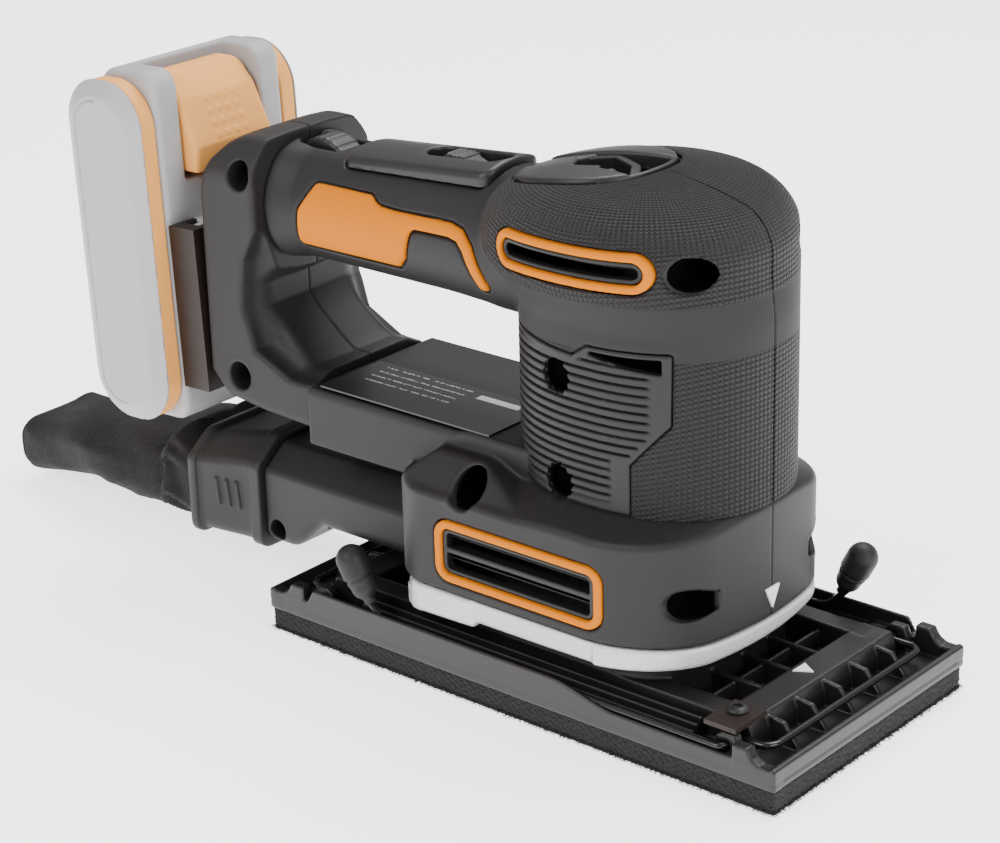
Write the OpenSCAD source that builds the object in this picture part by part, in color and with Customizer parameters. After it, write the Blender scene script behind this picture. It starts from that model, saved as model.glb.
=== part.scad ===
// Cordless sheet sander with a one-third sheet base plate.
// Front is +X, the right-hand side is -Y, up is +Z, and z = 0 is the sanding face.

/* [Base plate] */
// Length of the base plate
pad_l = 185; // [175:1:200]
// Width of the base plate
pad_w = 93; // [88:1:100]
// Thickness of the hook layer
hook_t = 1.3; // [0.8:0.1:2]
// Thickness of the foam layer
foam_t = 6; // [4:0.5:8]

/* [Base housing] */
// Half of the base housing's width
base_hw = 43.2; // [43:0.1:43.4]
// Lower rim of the base housing
base_z = 31; // [30.5:0.5:32]
// Wall thickness of the mouldings
wall = 2.6; // [2:0.1:3]

/* [Tower and handle] */
// Height of the tower's crown
tower_top = 151; // [149:1:153]
// Radius of the handle
grip_r = 19; // [18:0.5:19.5]
// Height of the handle's centre line
grip_z = 123; // [122:1:124]
// Height of the deck under the handle
deck_z = 74; // [72:1:75]

/* [Drive] */
// Place of the motor axis along X
motor_x = 16; // [14:1:17]
// Throw of the eccentric, half of the orbit
throw = 1; // [0.5:0.1:1.2]

/* [Dust bag] */
// Length of the dust bag
bag_l = 100; // [80:5:110]

/* [Battery] */
// Length of the battery pack
pack_h = 110; // [100:1:115]
// Width of the battery pack
pack_w = 72; // [70:1:78]

/* [Hidden] */
$fn = 48;

// Heights of the base plate's layers
foam_z = hook_t;
plate_z = hook_t + foam_t;
floor_t = 2;
floor_z = plate_z + floor_t;
lip_z = plate_z + 6.1;
frame_z = plate_z + 10.5;

// Colours
dark = "dimgray";
orange = "orange";

// Base housing outline: a straight-sided shape with a bowed front
bow_r = 105;
front_r = 21;
rear_r = 17;
base_front = 58.5;
base_rear = -49;
front_c = [base_front - 24, base_hw - front_r];
bow_a = atan2(front_c[1], front_c[0] - (base_front - bow_r));

// Tower sections: [centre x, half length, half width]
sec_low = [19.5, 39, 33];
sec_bulge = [14, 44.5, 39.5];
sec_top = [12, 37, 31];
skin = 1.2;
tower_z0 = 57;
neck_z = 112;
bulge_z0 = 125;
bulge_z1 = 138;
upper_vent_x = 16.7;

// Crown's outline: [centre x, half length, half width]
crown = [-1.5, 22, 21];

// Drive heights
pin_x = motor_x + throw;
shaft_r = 4;
gap = 0.04;

function arc(c, r, a0, a1, n) =
  [for (i = [0:n]) c + r * [cos(a0 + (a1 - a0) * i / n), sin(a0 + (a1 - a0) * i / n)]];

function mirrored(pts) = [for (i = [len(pts) - 1:-1:0]) [pts[i][0], -pts[i][1]]];

// Half of the base outline, from the front centre round to the rear centre
function base_half(i) = concat(
  arc([base_front - bow_r, 0], bow_r - i, 0, bow_a, 6),
  arc(front_c, front_r - i, bow_a + 8, 90, 8),
  arc([base_rear + rear_r, base_hw - rear_r], rear_r - i, 90, 180, 8));

function base_outline(i = 0) = concat(base_half(i), mirrored(base_half(i)));

function power(v, n) = sign(v) * pow(abs(v), 2 / n);

function superellipse(s, i = 0, n = 2.3, steps = 44) =
  [for (k = [0:steps - 1])
    let (a = 360 * k / steps)
    [s[0] + (s[1] - i) * power(cos(a), n), (s[2] - i) * power(sin(a), n)]];

// Rectangle with round corners, as points
function rounded(w, h, r) = concat(
  arc([w / 2 - r, h / 2 - r], r, 0, 90, 6), arc([-w / 2 + r, h / 2 - r], r, 90, 180, 6),
  arc([-w / 2 + r, -h / 2 + r], r, 180, 270, 6), arc([w / 2 - r, -h / 2 + r], r, 270, 360, 6));

module slab(pts, z0, z1) translate([0, 0, z0]) linear_extrude(z1 - z0) polygon(pts);

module loft(p0, z0, p1, z1) hull() {
  slab(p0, z0, z0 + 0.02);
  slab(p1, z1 - 0.02, z1);
}

module box(x0, x1, y0, y1, z0, z1) translate([x0, y0, z0]) cube([x1 - x0, y1 - y0, z1 - z0]);

// Everything on the right-hand side of the middle plane
module right_half() intersection() {
  children();
  box(-400, 200, -200, 0, -50, 300);
}

module left_copy() mirror([0, 1, 0]) children();

// Prism along Y from points given as [x, z]
module side_prism(pts, y0, y1) translate([0, y1, 0]) rotate([90, 0, 0]) linear_extrude(y1 - y0) polygon(pts);

module tube_x(x0, x1, y, z, r) translate([x0, y, z]) rotate([0, 90, 0]) cylinder(h = x1 - x0, r = r);
module tube_y(x, y0, y1, z, r) translate([x, y0, z]) rotate([-90, 0, 0]) cylinder(h = y1 - y0, r = r);
module disc(x, z0, z1, r) translate([x, 0, z0]) cylinder(h = z1 - z0, r = r);
module ring(x, z0, z1, r0, r1) difference() {
  disc(x, z0, z1, r1);
  disc(x, z0 - 1, z1 + 1, r0);
}

// ---- tower, handle, deck and base ----

module tower_skin(i) {
  slab(superellipse(sec_low, i), tower_z0, neck_z);
  loft(superellipse(sec_low, i), neck_z, superellipse(sec_bulge, i), bulge_z0);
  slab(superellipse(sec_bulge, i), bulge_z0, bulge_z1);
  loft(superellipse(sec_bulge, i), bulge_z1, superellipse(sec_top, i), tower_top - i);
}

module tower_window(grow) {
  // Opening in the soft sleeve for the ribbed panel
  side_prism([[-40, 66 - grow], [33 + grow, 66 - grow], [33 + grow, 81], [44 + grow, 93],
    [44 + grow, 110 + grow], [-40, 110 + grow]], -60, 0.001);
}

module handle_bar(i) tube_x(-112, 0, 0, grip_z, grip_r - i);

module deck(i) box(-91 + (i > 0 ? -1 : 0), -10, -28 + i, 28 - i, 57 + i, deck_z - i);

module upper_slots(y0) translate([upper_vent_x, y0, 135]) rotate([90, 0, 0])
  linear_extrude(40) polygon(rounded(44.5, 6, 2.9));

module lower_windows(y0, w, h) translate([3.2, y0, 44]) rotate([90, 0, 0])
  linear_extrude(40) polygon(rounded(w, h, 4));

// Side screws: [x, z, y of the head's underside, length]
side_screws = [[10, 101, -28.2, 6], [10.5, 70.5, -28.2, 6], [-17, 63.5, -34, 12], [51, 43, -29.5, 4],
  [48.5, 135, -23.8, 8]];

module side_screw_holes(r) for (p = side_screws) tube_y(p[0], -60, p[2] + 9, p[1], r);

module right_housing() color(dark) right_half() difference() {
  union() {
    slab(base_outline(), base_z, 57);
    loft(base_outline(), 57, superellipse(sec_low, -3), 63);
    difference() {
      tower_skin(skin);
      box(-60, 80, -60, 60, 0, 62);
    }
    handle_bar(0);
    deck(0);
  }
  // hollow inside
  slab(base_outline(wall), base_z - 1, 55);
  slab(superellipse(sec_low, skin + wall), 50, neck_z + 1);
  loft(superellipse(sec_low, skin + wall), neck_z, superellipse(sec_bulge, skin + wall), bulge_z0);
  slab(superellipse(sec_bulge, skin + wall), bulge_z0 - 0.1, bulge_z1);
  slab(superellipse([12, 38, 32], 0), bulge_z1 - 0.1, tower_top - 7);
  difference() {
    handle_bar(wall);
    box(-91.5, -26, -40, 40, grip_z + 12, 200);
  }
  tube_x(-113, -100, 0, grip_z, grip_r - wall);
  deck(wall);
  // openings
  upper_slots(-20);
  lower_windows(-30, 56, 14);
  side_screw_holes(2.2);
  crown_recess();
  box(-91, -25, -12.5, 12.5, grip_z + 16, 200);
  box(-112, -94, -5, 5, grip_z + 10, 200);
  box(-75, -30, -6, 6, grip_z + 10, 200);
  duct_port();
}
module left_housing() left_copy() right_housing();

module crown_recess() {
  slab(superellipse(crown, -0.3), tower_top - 5, tower_top + 5);
  slab(superellipse(crown, 8), tower_top - 8, tower_top);
}

module duct_port() side_prism([[-60, 33.4], [-40, 33.4], [-40, 50.4], [-60, 50.4]], -14.4, 14.4);

module right_grip_sleeve() color("gray") right_half() difference() {
  tower_skin(0);
  tower_skin(skin);
  box(-60, 80, -60, 60, 0, 64);
  slab(superellipse(crown, -0.8), tower_top - 6, tower_top + 5);
  tower_window(0);
  tube_x(-112, 0, 0, grip_z, grip_r + 0.01);
  upper_bezel_shape(51.5, 11, 5.4);
  side_screw_holes(4.5);
}
module left_grip_sleeve() left_copy() right_grip_sleeve();

module right_rib_panel() color(dark) right_half() difference() {
  intersection() {
    slab(superellipse(sec_low, 0), 66, 110);
    tower_window(-0.4);
  }
  slab(superellipse(sec_low, skin), 60, 112);
  side_screw_holes(4.5);
  // grooves between the ribs
  handle_bar(-0.01);
  deck(0);
  for (z = [69:3.4:104]) difference() {
    box(-30, 31, -60, 0, z, z + 0.8);
    slab(superellipse(sec_low, 0.5), z - 1, z + 2);
  }
  box(20, 42, -60, -20, 106, 112);
}
module left_rib_panel() left_copy() right_rib_panel();

module upper_bezel_shape(w, h, r) translate([upper_vent_x, -24, 135]) rotate([90, 0, 0])
  linear_extrude(30) polygon(rounded(w, h, r));

module right_upper_vent() color(orange) intersection() {
  difference() {
    upper_bezel_shape(50.5, 10.4, 5.1);
    upper_bezel_shape(43.5, 5, 2.4);
    slab(superellipse(sec_bulge, skin), 100, 160);
  }
  slab(superellipse(sec_bulge, -0.5), 100, 160);
}
module left_upper_vent() left_copy() right_upper_vent();

module right_lower_vent() color(orange) translate([3.2, wall - base_hw, 44]) rotate([90, 0, 0])
  difference() {
    union() {
      linear_extrude(wall) polygon(rounded(55.6, 13.6, 3.8));
      translate([0, 0, wall]) linear_extrude(0.8) polygon(rounded(61, 18, 5));
    }
    for (s = [-1, 1]) translate([0, s * 2.9, -1]) linear_extrude(8) polygon(rounded(53, 4.4, 1.4));
  }
module left_lower_vent() left_copy() right_lower_vent();

module right_handle_inlay() color(orange) right_half() intersection() {
  difference() {
    tube_x(-100, -22, 0, grip_z, grip_r + 0.7);
    tube_x(-101, -10, 0, grip_z, grip_r);
  }
  side_prism([[-98, 116], [-95, 131], [-78, 132.6], [-74, 128], [-34, 130.6], [-28, 128],
    [-23, 113], [-27, 113], [-32, 124], [-50, 122.6], [-54, 116], [-62, 113]], -40, 0);
}
module left_handle_inlay() left_copy() right_handle_inlay();

// Grip cover on top of the handle, with the slot of the power switch
module handle_top_cover() color(dark) difference() {
  intersection() {
    tube_x(-86, -31.5, 0, grip_z, grip_r + 3);
    box(-86, -31.5, -11.5, 11.5, grip_z + 16, 200);
  }
  box(-58.4, -34.2, -4, 4, 100, 200);
  difference() {
    tube_x(-88, -20, 0, grip_z, grip_r);
    box(-90, -20, -12, 12, grip_z + 16, 200);
  }
}

module power_switch() color(dark) {
  box(-57.6, -43.6, -3.6, 3.6, grip_z + 13, grip_z + 19);
  tube_y(-50.6, -3.6, 3.6, grip_z + 18, 3.5);
}

module switch_module() color("black") difference() {
  box(-62, -38, -7, 7, grip_z + 0.5, grip_z + 11.9);
  box(-52, -44, -3, 3, grip_z + 8, grip_z + 14);
}

// Thumb wheel for the speed
dial_x = -103;
dial_z = grip_z + 9;
module speed_dial() color("dimgray") difference() {
  union() {
    tube_y(dial_x, -4, 4, dial_z, 10.5);
    for (a = [0:15:345]) translate([dial_x, 0, dial_z]) rotate([0, a, 0])
      translate([10.2, -4, -0.5]) cube([0.8, 8, 1]);
  }
  tube_y(dial_x, -5, 5, dial_z, 2);
}

module control_board() color("green") {
  box(-90, -66, -9, 9, grip_z - 8, grip_z - 6.4);
  box(-86, -80, -5, 5, grip_z - 6.4, grip_z - 1);
  box(-76, -70, -6, 2, grip_z - 6.4, grip_z - 3);
  tube_y(dial_x, -9, -4.5, dial_z, 5);
}

// Crown: oval ring, two cheeks and a finger channel with a bridge
module tower_crown() color("gray") difference() {
  union() {
    slab(superellipse(crown), tower_top - 5, tower_top - 1);
    slab(superellipse(crown, 2.2), tower_top - 5, tower_top + 1.6);
  }
  slab(superellipse([5, 12, 8]), tower_top - 4, tower_top + 5);
  box(-30, 0, -5, 5, tower_top - 1, tower_top + 5);
}

module housing_screws() color("silver") {
  for (p = side_screws)
    for (s = [-1, 1]) on_side(s) {
      tube_y(p[0], p[2], p[2] + p[3], p[1], 1.5);
      difference() {
        tube_y(p[0], p[2] - 2, p[2], p[1], 2.1);
        translate([p[0], p[2] - 1, p[1]]) rotate([90, 0, 0]) cylinder(h = 3, r = 1, $fn = 6);
      }
    }
}
module on_side(s) if (s > 0) children(); else left_copy() children();

module rating_plate() color("black") box(-86, -20, -27, -1, deck_z, deck_z + 0.5);

module front_arrow() color("white") translate([base_front, 0, 0]) rotate([90, 0, 90])
  linear_extrude(0.6) polygon([[-3.2, 40], [3.2, 40], [0, 33.6]]);

// ---- rear shell and battery seat ----

module rear_profile(i) side_prism(concat(
  [[-91 + (i > 0 ? 1 : 0), 57 + i], [-91 + (i > 0 ? 1 : 0), deck_z - i], [-98 - i, deck_z - i / 2],
   [-116.5 - i, 90], [-117 - i, 99], [-112 + (i > 0 ? 1 : 0), 104 + i], [-112 + (i > 0 ? 1 : 0), 142 - i]],
  arc([-117, 124], 18 - i, 95, 180, 6),
  [[-135 + i, 66]], arc([-125, 66], 10 - i, 190, 260, 3)), -27 + i, 27 - i);

module right_rear_shell() color(dark) right_half() difference() {
  union() {
    intersection() {
      rear_profile(0);
      union() {
        box(-136, -119, -27, 27, 50, 150);
        tube_x(-122, -112, 0, grip_z, grip_r);
        box(-122, -90, -27, 27, 50, 76);
        box(-122, -110, -15, 15, 50, 110);
        side_prism([[-120, 76], [-104, 76], [-120, 100]], -18, 18);
      }
    }
  }
  intersection() {
    rear_profile(wall);
    union() {
      box(-136, -119, -27 + wall, 27 - wall, 50, 150);
      tube_x(-122, -110, 0, grip_z, grip_r - wall);
      box(-122, -90, -25.4, 25.4, 50, 72);
      box(-122, -110, -12.4, 12.4, 50, 110);
    }
  }
  for (p = [[-117, 134], [-121, 68]]) tube_y(p[0], -60, -10, p[1], 2.2);
  box(-140, -130, -20, 20, 66, 110);
  box(-112.5, -100, -5, 5, grip_z + 10, 200);
}
module left_rear_shell() left_copy() right_rear_shell();

// The battery and its rail lean back a little
lean_a = 2.5;
module lean() translate([-135, 0, 66]) rotate([0, -lean_a, 0]) translate([135, 0, -66]) children();

module battery_rail() color("saddlebrown") lean() {
  difference() {
    box(-146, -135, -27, 27, 61, 113);
    box(-144, -138, -22, 22, 70, 120);
    box(-150, -143, -17, 17, 70, 120);
    terminal_blades();
  }
  box(-135, -131.4, -18, 18, 69, 105);
}

module terminal_blades() for (y = [-10, -3.4, 3.4, 10])
  box(-138, -135.4, y - 0.4, y + 0.4, 74, 92);
module battery_terminals() color("gold") lean() terminal_blades();

// ---- motor and drive ----

module motor_can() color("silver") difference() {
  disc(motor_x, 73, 128, 21);
  disc(motor_x, 75, 126, 19.6);
  disc(motor_x, 70, 130, 8);
  for (a = [45:90:315]) translate([motor_x, 0, 122]) rotate([0, 0, a]) translate([10, -4, -3]) cube([20, 8, 6]);
}

module field_magnets() color("black") difference() {
  ring(motor_x, 78, 114, 16.2, 19.6);
  box(motor_x - 30, motor_x + 30, -4, 4, 70, 120);
}

module upper_bearing() color("silver") ring(motor_x, 128, 134, 3 + gap, 9.5);
module lower_bearing() color("silver") ring(motor_x, 64, 71, shaft_r + gap, 11);

module bearing_plate() color("darkgray") difference() {
  union() {
    slab(superellipse(sec_low, skin + wall + 0.3), 66, 73);
    disc(motor_x, 62, 66, 14);
  }
  disc(motor_x, 64, 71, 11);
  disc(motor_x, 60, 80, 8);
  for (a = [20:40:340]) translate([motor_x, 0, 60]) rotate([0, 0, a]) translate([19, 0, 0]) cylinder(h = 20, r = 3);
  side_screw_holes(2.4);
  left_copy() side_screw_holes(2.4);
}

module brush_holders() color("peru") for (s = [-1, 1]) translate([motor_x, 0, 0]) {
  box(-2.5, 2.5, s > 0 ? 7.2 : -17, s > 0 ? 17 : -7.2, 118, 124);
}

module motor_shaft() color("silver") {
  disc(motor_x, 46, 128, shaft_r);
  disc(motor_x, 128, 136, 3);
  disc(motor_x, 44, 46, 7);
  disc(pin_x, 31.5, 44, 5);
}

module armature() color("brown") difference() {
  disc(motor_x, 80, 112, 15.6);
  disc(motor_x, 79, 113, shaft_r);
  for (a = [0:36:324]) translate([motor_x, 0, 79]) rotate([0, 0, a]) translate([12, -0.8, 0]) cube([5, 1.6, 34]);
}

module commutator() color("darkorange") ring(motor_x, 115, 126, shaft_r, 6.8);

module cooling_fan() color("black") difference() {
  union() {
    disc(motor_x, 52, 53.6, 27);
    disc(motor_x, 52, 61, 8);
    for (a = [0:30:330]) translate([motor_x, 0, 53.6]) rotate([0, 0, a])
      translate([10, -0.7, -0.5]) cube([16, 1.4, 7]);
  }
  disc(motor_x, 50, 63, shaft_r);
}

module counterweight() color("gray") difference() {
  intersection() {
    disc(motor_x, 46, 51, 17);
    union() {
      disc(motor_x, 46, 51, 9);
      box(motor_x - 20, motor_x - 2, -20, 20, 40, 60);
    }
  }
  disc(motor_x, 40, 60, shaft_r);
}

module flexible_legs() color("black") for (x = [-34, 43]) for (y = [-27, 27])
  translate([x, y, base_z + 0.3]) {
    cylinder(h = 18, r = 4.5);
    cylinder(h = 3, r = 6);
    translate([0, 0, 15]) cylinder(h = 8.6, r = 6);
  }

// ---- dust extraction ----

module dust_duct() color(dark) difference() {
  union() {
    side_prism([[base_rear, 32], [base_rear, 46], [-118, 45], [-118, 12], [-104, 14.5], [-90, 22], [-70, 27]],
      -20, 20);
    side_prism([[-47, 33.6], [base_rear, 33.6], [base_rear, 46], [-47, 46]], -14, 14);
  }
  side_prism([[-40, 36], [-70, 34.5], [-100, 26], [-119, 22], [-119, 43.4], [-40, 43.6]], -11.8, 11.8);
  side_prism([[-113, 10], [-108, 19], [-98, 22], [-95, 15]], -30, -18);
}

module bag_collar() color("gray") difference() {
  union() {
    side_prism([[-118.1, 9.5], [-118.1, 46.5], [-136, 45], [-147, 41], [-147, 9], [-136, 8]], -24, 24);
    tube_section();
  }
  side_prism([[-110, 14], [-110, 40], [-150, 38], [-150, 14]], -8, 8);
  for (x = [-141, -137.4, -133.8]) box(x, x + 1.6, -25, -23.4, 19, 36);
}
module tube_section() box(-118.1, -112, -11.4, 11.4, 24.5, 42.6);

// Cloth bag as a plain closed solid
module dust_bag() color("black") hull() {
  translate([-147.1, 0, 24]) rotate([0, -90, 0]) linear_extrude(0.1) polygon(rounded(30, 46, 8));
  translate([-190, 0, 20]) rotate([0, -90, 0]) linear_extrude(0.1) polygon(rounded(32, 60, 10));
  translate([-147 - bag_l, 0, 20]) rotate([0, -90, 0]) linear_extrude(0.1) polygon(rounded(16, 62, 6));
}

// ---- oscillating head ----

carrier_z0 = 22;
carrier_z1 = base_z - 0.6;

module carrier_plate() color("gray") difference() {
  union() {
    slab(base_outline(6), carrier_z0 + 3, carrier_z1);
    disc(pin_x, carrier_z0 + 3, 43, 17);
  }
  disc(pin_x, 33, 50, 13);
  disc(pin_x, 28, 34, 8);
  // room for the lever's boss, under a web that holds the pin
  translate([lever_x, lever_y, 0]) cylinder(h = boss_z1 + 0.4, r = 8.4);
  box(-60, lever_x + 8.4, -60, lever_y, 0, boss_z1 + 0.4);
  translate([lever_x, lever_y, 0]) cylinder(h = 60, r = 3);
  slab(rounded(60, 34, 6), 0, carrier_z0 + 5);
}

module eccentric_bearing() color("silver") ring(pin_x, 33, 41, 5 + gap, 13);

// Lock lever: a band from the pin at the rear right corner, along the side and round the front
lever_x = -38;
lever_y = -32;
lever_z = 21.5;
lever_t = 4;
boss_z1 = 27.6;
module lock_lever() color("silver") difference() {
  union() {
    intersection() {
      slab(base_outline(0), lever_z, carrier_z1);
      union() {
        box(lever_x, 70, -60, 0.001, 0, 60);
        box(20, 70, -1, 32, 0, 60);
      }
      side_taper();
    }
    translate([lever_x, lever_y, lever_z]) cylinder(h = boss_z1 - lever_z, r = 7.6);
    box(lever_x, lever_x + 4, 0.6 - base_hw, lever_y, lever_z, boss_z1);
  }
  difference() {
    slab(base_outline(lever_t), 10, 40);
    box(-60, lever_x + 8, -60, lever_y, 0, boss_z1);
  }
  translate([lever_x, lever_y, 0]) cylinder(h = 60, r = 3 + gap);
  box(-14, 24, -50, 0.5 - base_hw, 0, 60);
}
// Takes the band's lower edge up towards the free end
module side_taper() rotate([0, 90, 0]) translate([0, 0, -80]) linear_extrude(200)
  polygon([[-40, -60], [-40, 60], [-carrier_z1 + 3.8, 60], [-lever_z, -36], [-lever_z, -60]]);

module lever_pin() color("silver") {
  translate([lever_x, lever_y, 20.9]) cylinder(h = carrier_z1 - 20.9, r = 3);
  translate([lever_x, lever_y, 20]) cylinder(h = 0.9, r = 5);
}

// ---- base plate with its sheet clamps ----

side_y = pad_w / 2;
end_x = pad_l / 2;
frame_y = 34;
beam_x0 = 66;
beam_x1 = 75;
pivot_x = 74;
pivot_z = 13.9;
wire_r = 1.1;
arm_y = 44.4;

module base_plate() color(dark) {
  ribbed_tray();
  // walls that shield the clamps' arms
  for (a = [0, 180]) rotate([0, 0, a]) side_prism([[-76, lip_z - 2], [-76, 16.4], [-73, 17.6], [17, 17.6],
    [27, 16.6], [39, lip_z], [76, lip_z], [76, lip_z - 2]], -side_y, -side_y + 0.9);
}

module ribbed_tray() difference() {
  union() {
    box(-end_x, end_x, -side_y, side_y, plate_z, floor_z);
    for (m = [0, 1]) mirror([m, 0, 0]) {
      box(end_x - 2.4, end_x, -side_y, side_y, plate_z, lip_z);
      box(beam_x0, beam_x1, -35.4, 35.4, plate_z, frame_z);
      for (y = [-24, -14.4, -4.8, 4.8, 14.4, 24]) gusset(y);
      for (n = [0, 1]) mirror([0, n, 0]) corner_post();
    }
    for (n = [0, 1]) mirror([0, n, 0]) {
      box(-end_x, end_x, 42.6, side_y, plate_z, lip_z);
      box(-beam_x1, beam_x1, frame_y - 7, frame_y, plate_z, frame_z);
      box(-beam_x1, beam_x1, 12, 13.4, plate_z, frame_z - 1);
    }
    box(-beam_x1, beam_x1, -0.7, 0.7, plate_z, frame_z - 1);
    for (x = [-54:12:54]) box(x - 0.6, x + 0.6, -frame_y, frame_y, plate_z, frame_z - 3);
    // seat under the carrier
    slab(rounded(59, 33, 6), plate_z, carrier_z0 + 4.8);
    slab(base_outline(9), plate_z, carrier_z0 + 2.8);
  }
  at_brackets() translate([bracket_x, bracket_y, 10]) cylinder(h = 20, r = 1.4);
  for (m = [0, 1]) mirror([m, 0, 0]) for (n = [0, 1]) mirror([0, n, 0])
    tube_y(pivot_x, 39, 45, pivot_z, wire_r + 0.05);
  // step along each side for a clamp's arm
  for (a = [0, 180]) rotate([0, 0, a]) box(-62, 76, -50, 1.4 - arm_y, pivot_z - wire_r - 0.3, 40);
  // room under the lever's boss
  box(-60, lever_x + 12, -60, lever_y + 12, 19.4, 40);
}

module gusset(y) translate([0, y + 0.6, 0]) rotate([90, 0, 0]) linear_extrude(1.2)
  polygon([[beam_x1, floor_z], [beam_x1 + 7.6, floor_z], [beam_x1 + 2.6, frame_z - 2], [beam_x1, frame_z - 2]]);

// Bearing post of a clamp wire
module corner_post() box(70.6, 78, 39.6, 42.4, plate_z, frame_z - 0.8);

module foam_pad() color("black") box(-end_x, end_x, -side_y, side_y, foam_z, plate_z);
module hook_sheet() color("dimgray") box(-end_x, end_x, -side_y, side_y, 0, foam_z);

// One bracket beside each clamp's arm
bracket_x = 71;
bracket_y = -33;
module at_brackets() for (a = [0, 180]) rotate([0, 0, a]) children();

module clamp_brackets() color("saddlebrown") at_brackets() difference() {
  box(66.5, 77, -42.2, -28, frame_z, frame_z + 1.4);
  translate([bracket_x, bracket_y, 10]) cylinder(h = 20, r = 1.7);
}

module bracket_screws() color("gray") at_brackets() translate([bracket_x, bracket_y, 0]) {
  translate([0, 0, 12]) cylinder(h = frame_z - 10.6, r = 1.4);
  translate([0, 0, frame_z + 1.4]) difference() {
    cylinder(h = 1.8, r = 3);
    translate([0, 0, 0.8]) cylinder(h = 2, r = 1.2, $fn = 6);
  }
}

module plate_arrow() color("white") slab([[68, -3], [68, 3], [73, 0]], frame_z, frame_z + 0.3);

// Clamp wire: a U-shaped bar in front, two journals and one long arm with a raised end
bar_x = 84.6;
bar_y = 37;
bar_r = 4;
turn_r = 2;
arm_x1 = -44;
lift_r = 8;
lift_a = 45;
stem_l = 8;

module bend(r, a0, a1) rotate([0, 0, a0]) rotate_extrude(angle = a1 - a0) translate([r, 0]) circle(r = wire_r);

module front_clamp_wire() color("black") translate([0, 0, pivot_z]) {
  tube_y(bar_x, bar_r - bar_y, bar_y - bar_r, 0, wire_r);
  for (s = [-1, 1]) on_side(-s) {
    translate([bar_x - bar_r, bar_r - bar_y, 0]) bend(bar_r, -90, 0);
    tube_x(pivot_x + turn_r, bar_x - bar_r, -bar_y, 0, wire_r);
    translate([pivot_x + turn_r, -bar_y - turn_r, 0]) bend(turn_r, 90, 180);
    tube_y(pivot_x, turn_r - arm_y, -bar_y - turn_r, 0, wire_r);
  }
  translate([pivot_x - turn_r, turn_r - arm_y, 0]) bend(turn_r, -90, 0);
  tube_x(arm_x1, pivot_x - turn_r, -arm_y, 0, wire_r);
  translate([arm_x1, -arm_y, lift_r]) rotate([90, 0, 0]) bend(lift_r, -90 - lift_a, -90);
  translate([arm_x1, -arm_y, lift_r]) rotate([0, lift_a, 0]) translate([-stem_l, 0, -lift_r])
    rotate([0, 90, 0]) cylinder(h = stem_l, r = wire_r);
}
module rear_clamp_wire() color("black") rotate([0, 0, 180]) front_clamp_wire();
module front_clamp_tip() color("black") hull() {
  translate([-54.4, -44.8, 22.6]) sphere(r = 3.5, $fn = 20);
  translate([-58.8, -45.4, 31.2]) sphere(r = 4.7, $fn = 20);
}
module rear_clamp_tip() color("black") rotate([0, 0, 180]) front_clamp_tip();

// ---- battery pack ----

pack_x0 = -180.5;
core_x0 = -171;
pack_x1 = -146.6;
pack_z0 = 48.5;
core_z1 = pack_z0 + pack_h + 1.5;
cheek_y = 26.8;
band_t = 5.8;

// Side outline of a part of the pack, with corners of radius r, shrunk by i
function pack_outline(x0, z1, r, i) = concat(
  arc([pack_x1 - r, z1 - r], r - i, 0, 90, 6), arc([x0 + r, z1 - r], r - i, 90, 180, 6),
  arc([x0 + r, pack_z0 + r], r - i, 180, 270, 6), arc([pack_x1 - r, pack_z0 + r], r - i, 270, 360, 6));

module battery_case() color("lightgray") lean() difference() {
  union() {
    side_prism(pack_outline(core_x0, core_z1, 6, 0), -cheek_y, cheek_y);
    box(pack_x1 - 1.5, -138.2, -16.6, 16.6, 70.4, 118);
    box(-143.6, -138.2, -21.6, 21.6, 70.4, 118);
  }
  box(core_x0 + 3, pack_x1 - 3, -24, 24, pack_z0 + 5, pack_z0 + 72);
  box(-163, -135, -17, 17, 125, 180);
}

module battery_bands() color("orange") lean() for (s = [-1, 1]) on_side(-s)
  side_prism(pack_outline(pack_x0, pack_z0 + pack_h, 15, 0.8), -cheek_y - band_t, -cheek_y);

module battery_cheeks() color("lightgray") lean() for (s = [-1, 1]) on_side(-s)
  side_prism(pack_outline(pack_x0, pack_z0 + pack_h, 15, 0), -pack_w / 2, -cheek_y - band_t);

module battery_button() color("orange") lean() side_prism(
  [[-160, 127], [-142.4, 127], [-141.4, 135], [-147.5, 150], [-155.5, core_z1], [-160, core_z1]], -16.6, 16.6);

module battery_cells() color("green") lean() for (y = [-15, 0, 15])
  translate([-159, y, pack_z0 + 5.6]) cylinder(h = 65, r = 7);

// ---- assembly ----
right_housing();
left_housing();
right_rear_shell();
left_rear_shell();
battery_rail();
battery_terminals();
right_grip_sleeve();
left_grip_sleeve();
right_rib_panel();
left_rib_panel();
right_handle_inlay();
left_handle_inlay();
right_upper_vent();
left_upper_vent();
right_lower_vent();
left_lower_vent();
handle_top_cover();
tower_crown();
housing_screws();
rating_plate();
front_arrow();
power_switch();
switch_module();
speed_dial();
control_board();
motor_can();
field_magnets();
upper_bearing();
lower_bearing();
bearing_plate();
brush_holders();
motor_shaft();
armature();
commutator();
cooling_fan();
counterweight();
flexible_legs();
dust_duct();
bag_collar();
dust_bag();
eccentric_bearing();
carrier_plate();
lock_lever();
lever_pin();
base_plate();
foam_pad();
hook_sheet();
clamp_brackets();
bracket_screws();
plate_arrow();
front_clamp_wire();
front_clamp_tip();
rear_clamp_wire();
rear_clamp_tip();
battery_case();
battery_bands();
battery_cheeks();
battery_button();
battery_cells();
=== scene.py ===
"""Cordless sheet sander: shells, soft parts, materials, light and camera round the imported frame.

Shapes are distance fields in millimetres, in the frame's own axes, meshed and then pulled exactly
onto their surface. They are cut on the middle plane where the real mouldings are.
"""
import math

import bpy
import numpy as np
import openvdb
from mathutils import Matrix, Vector


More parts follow.
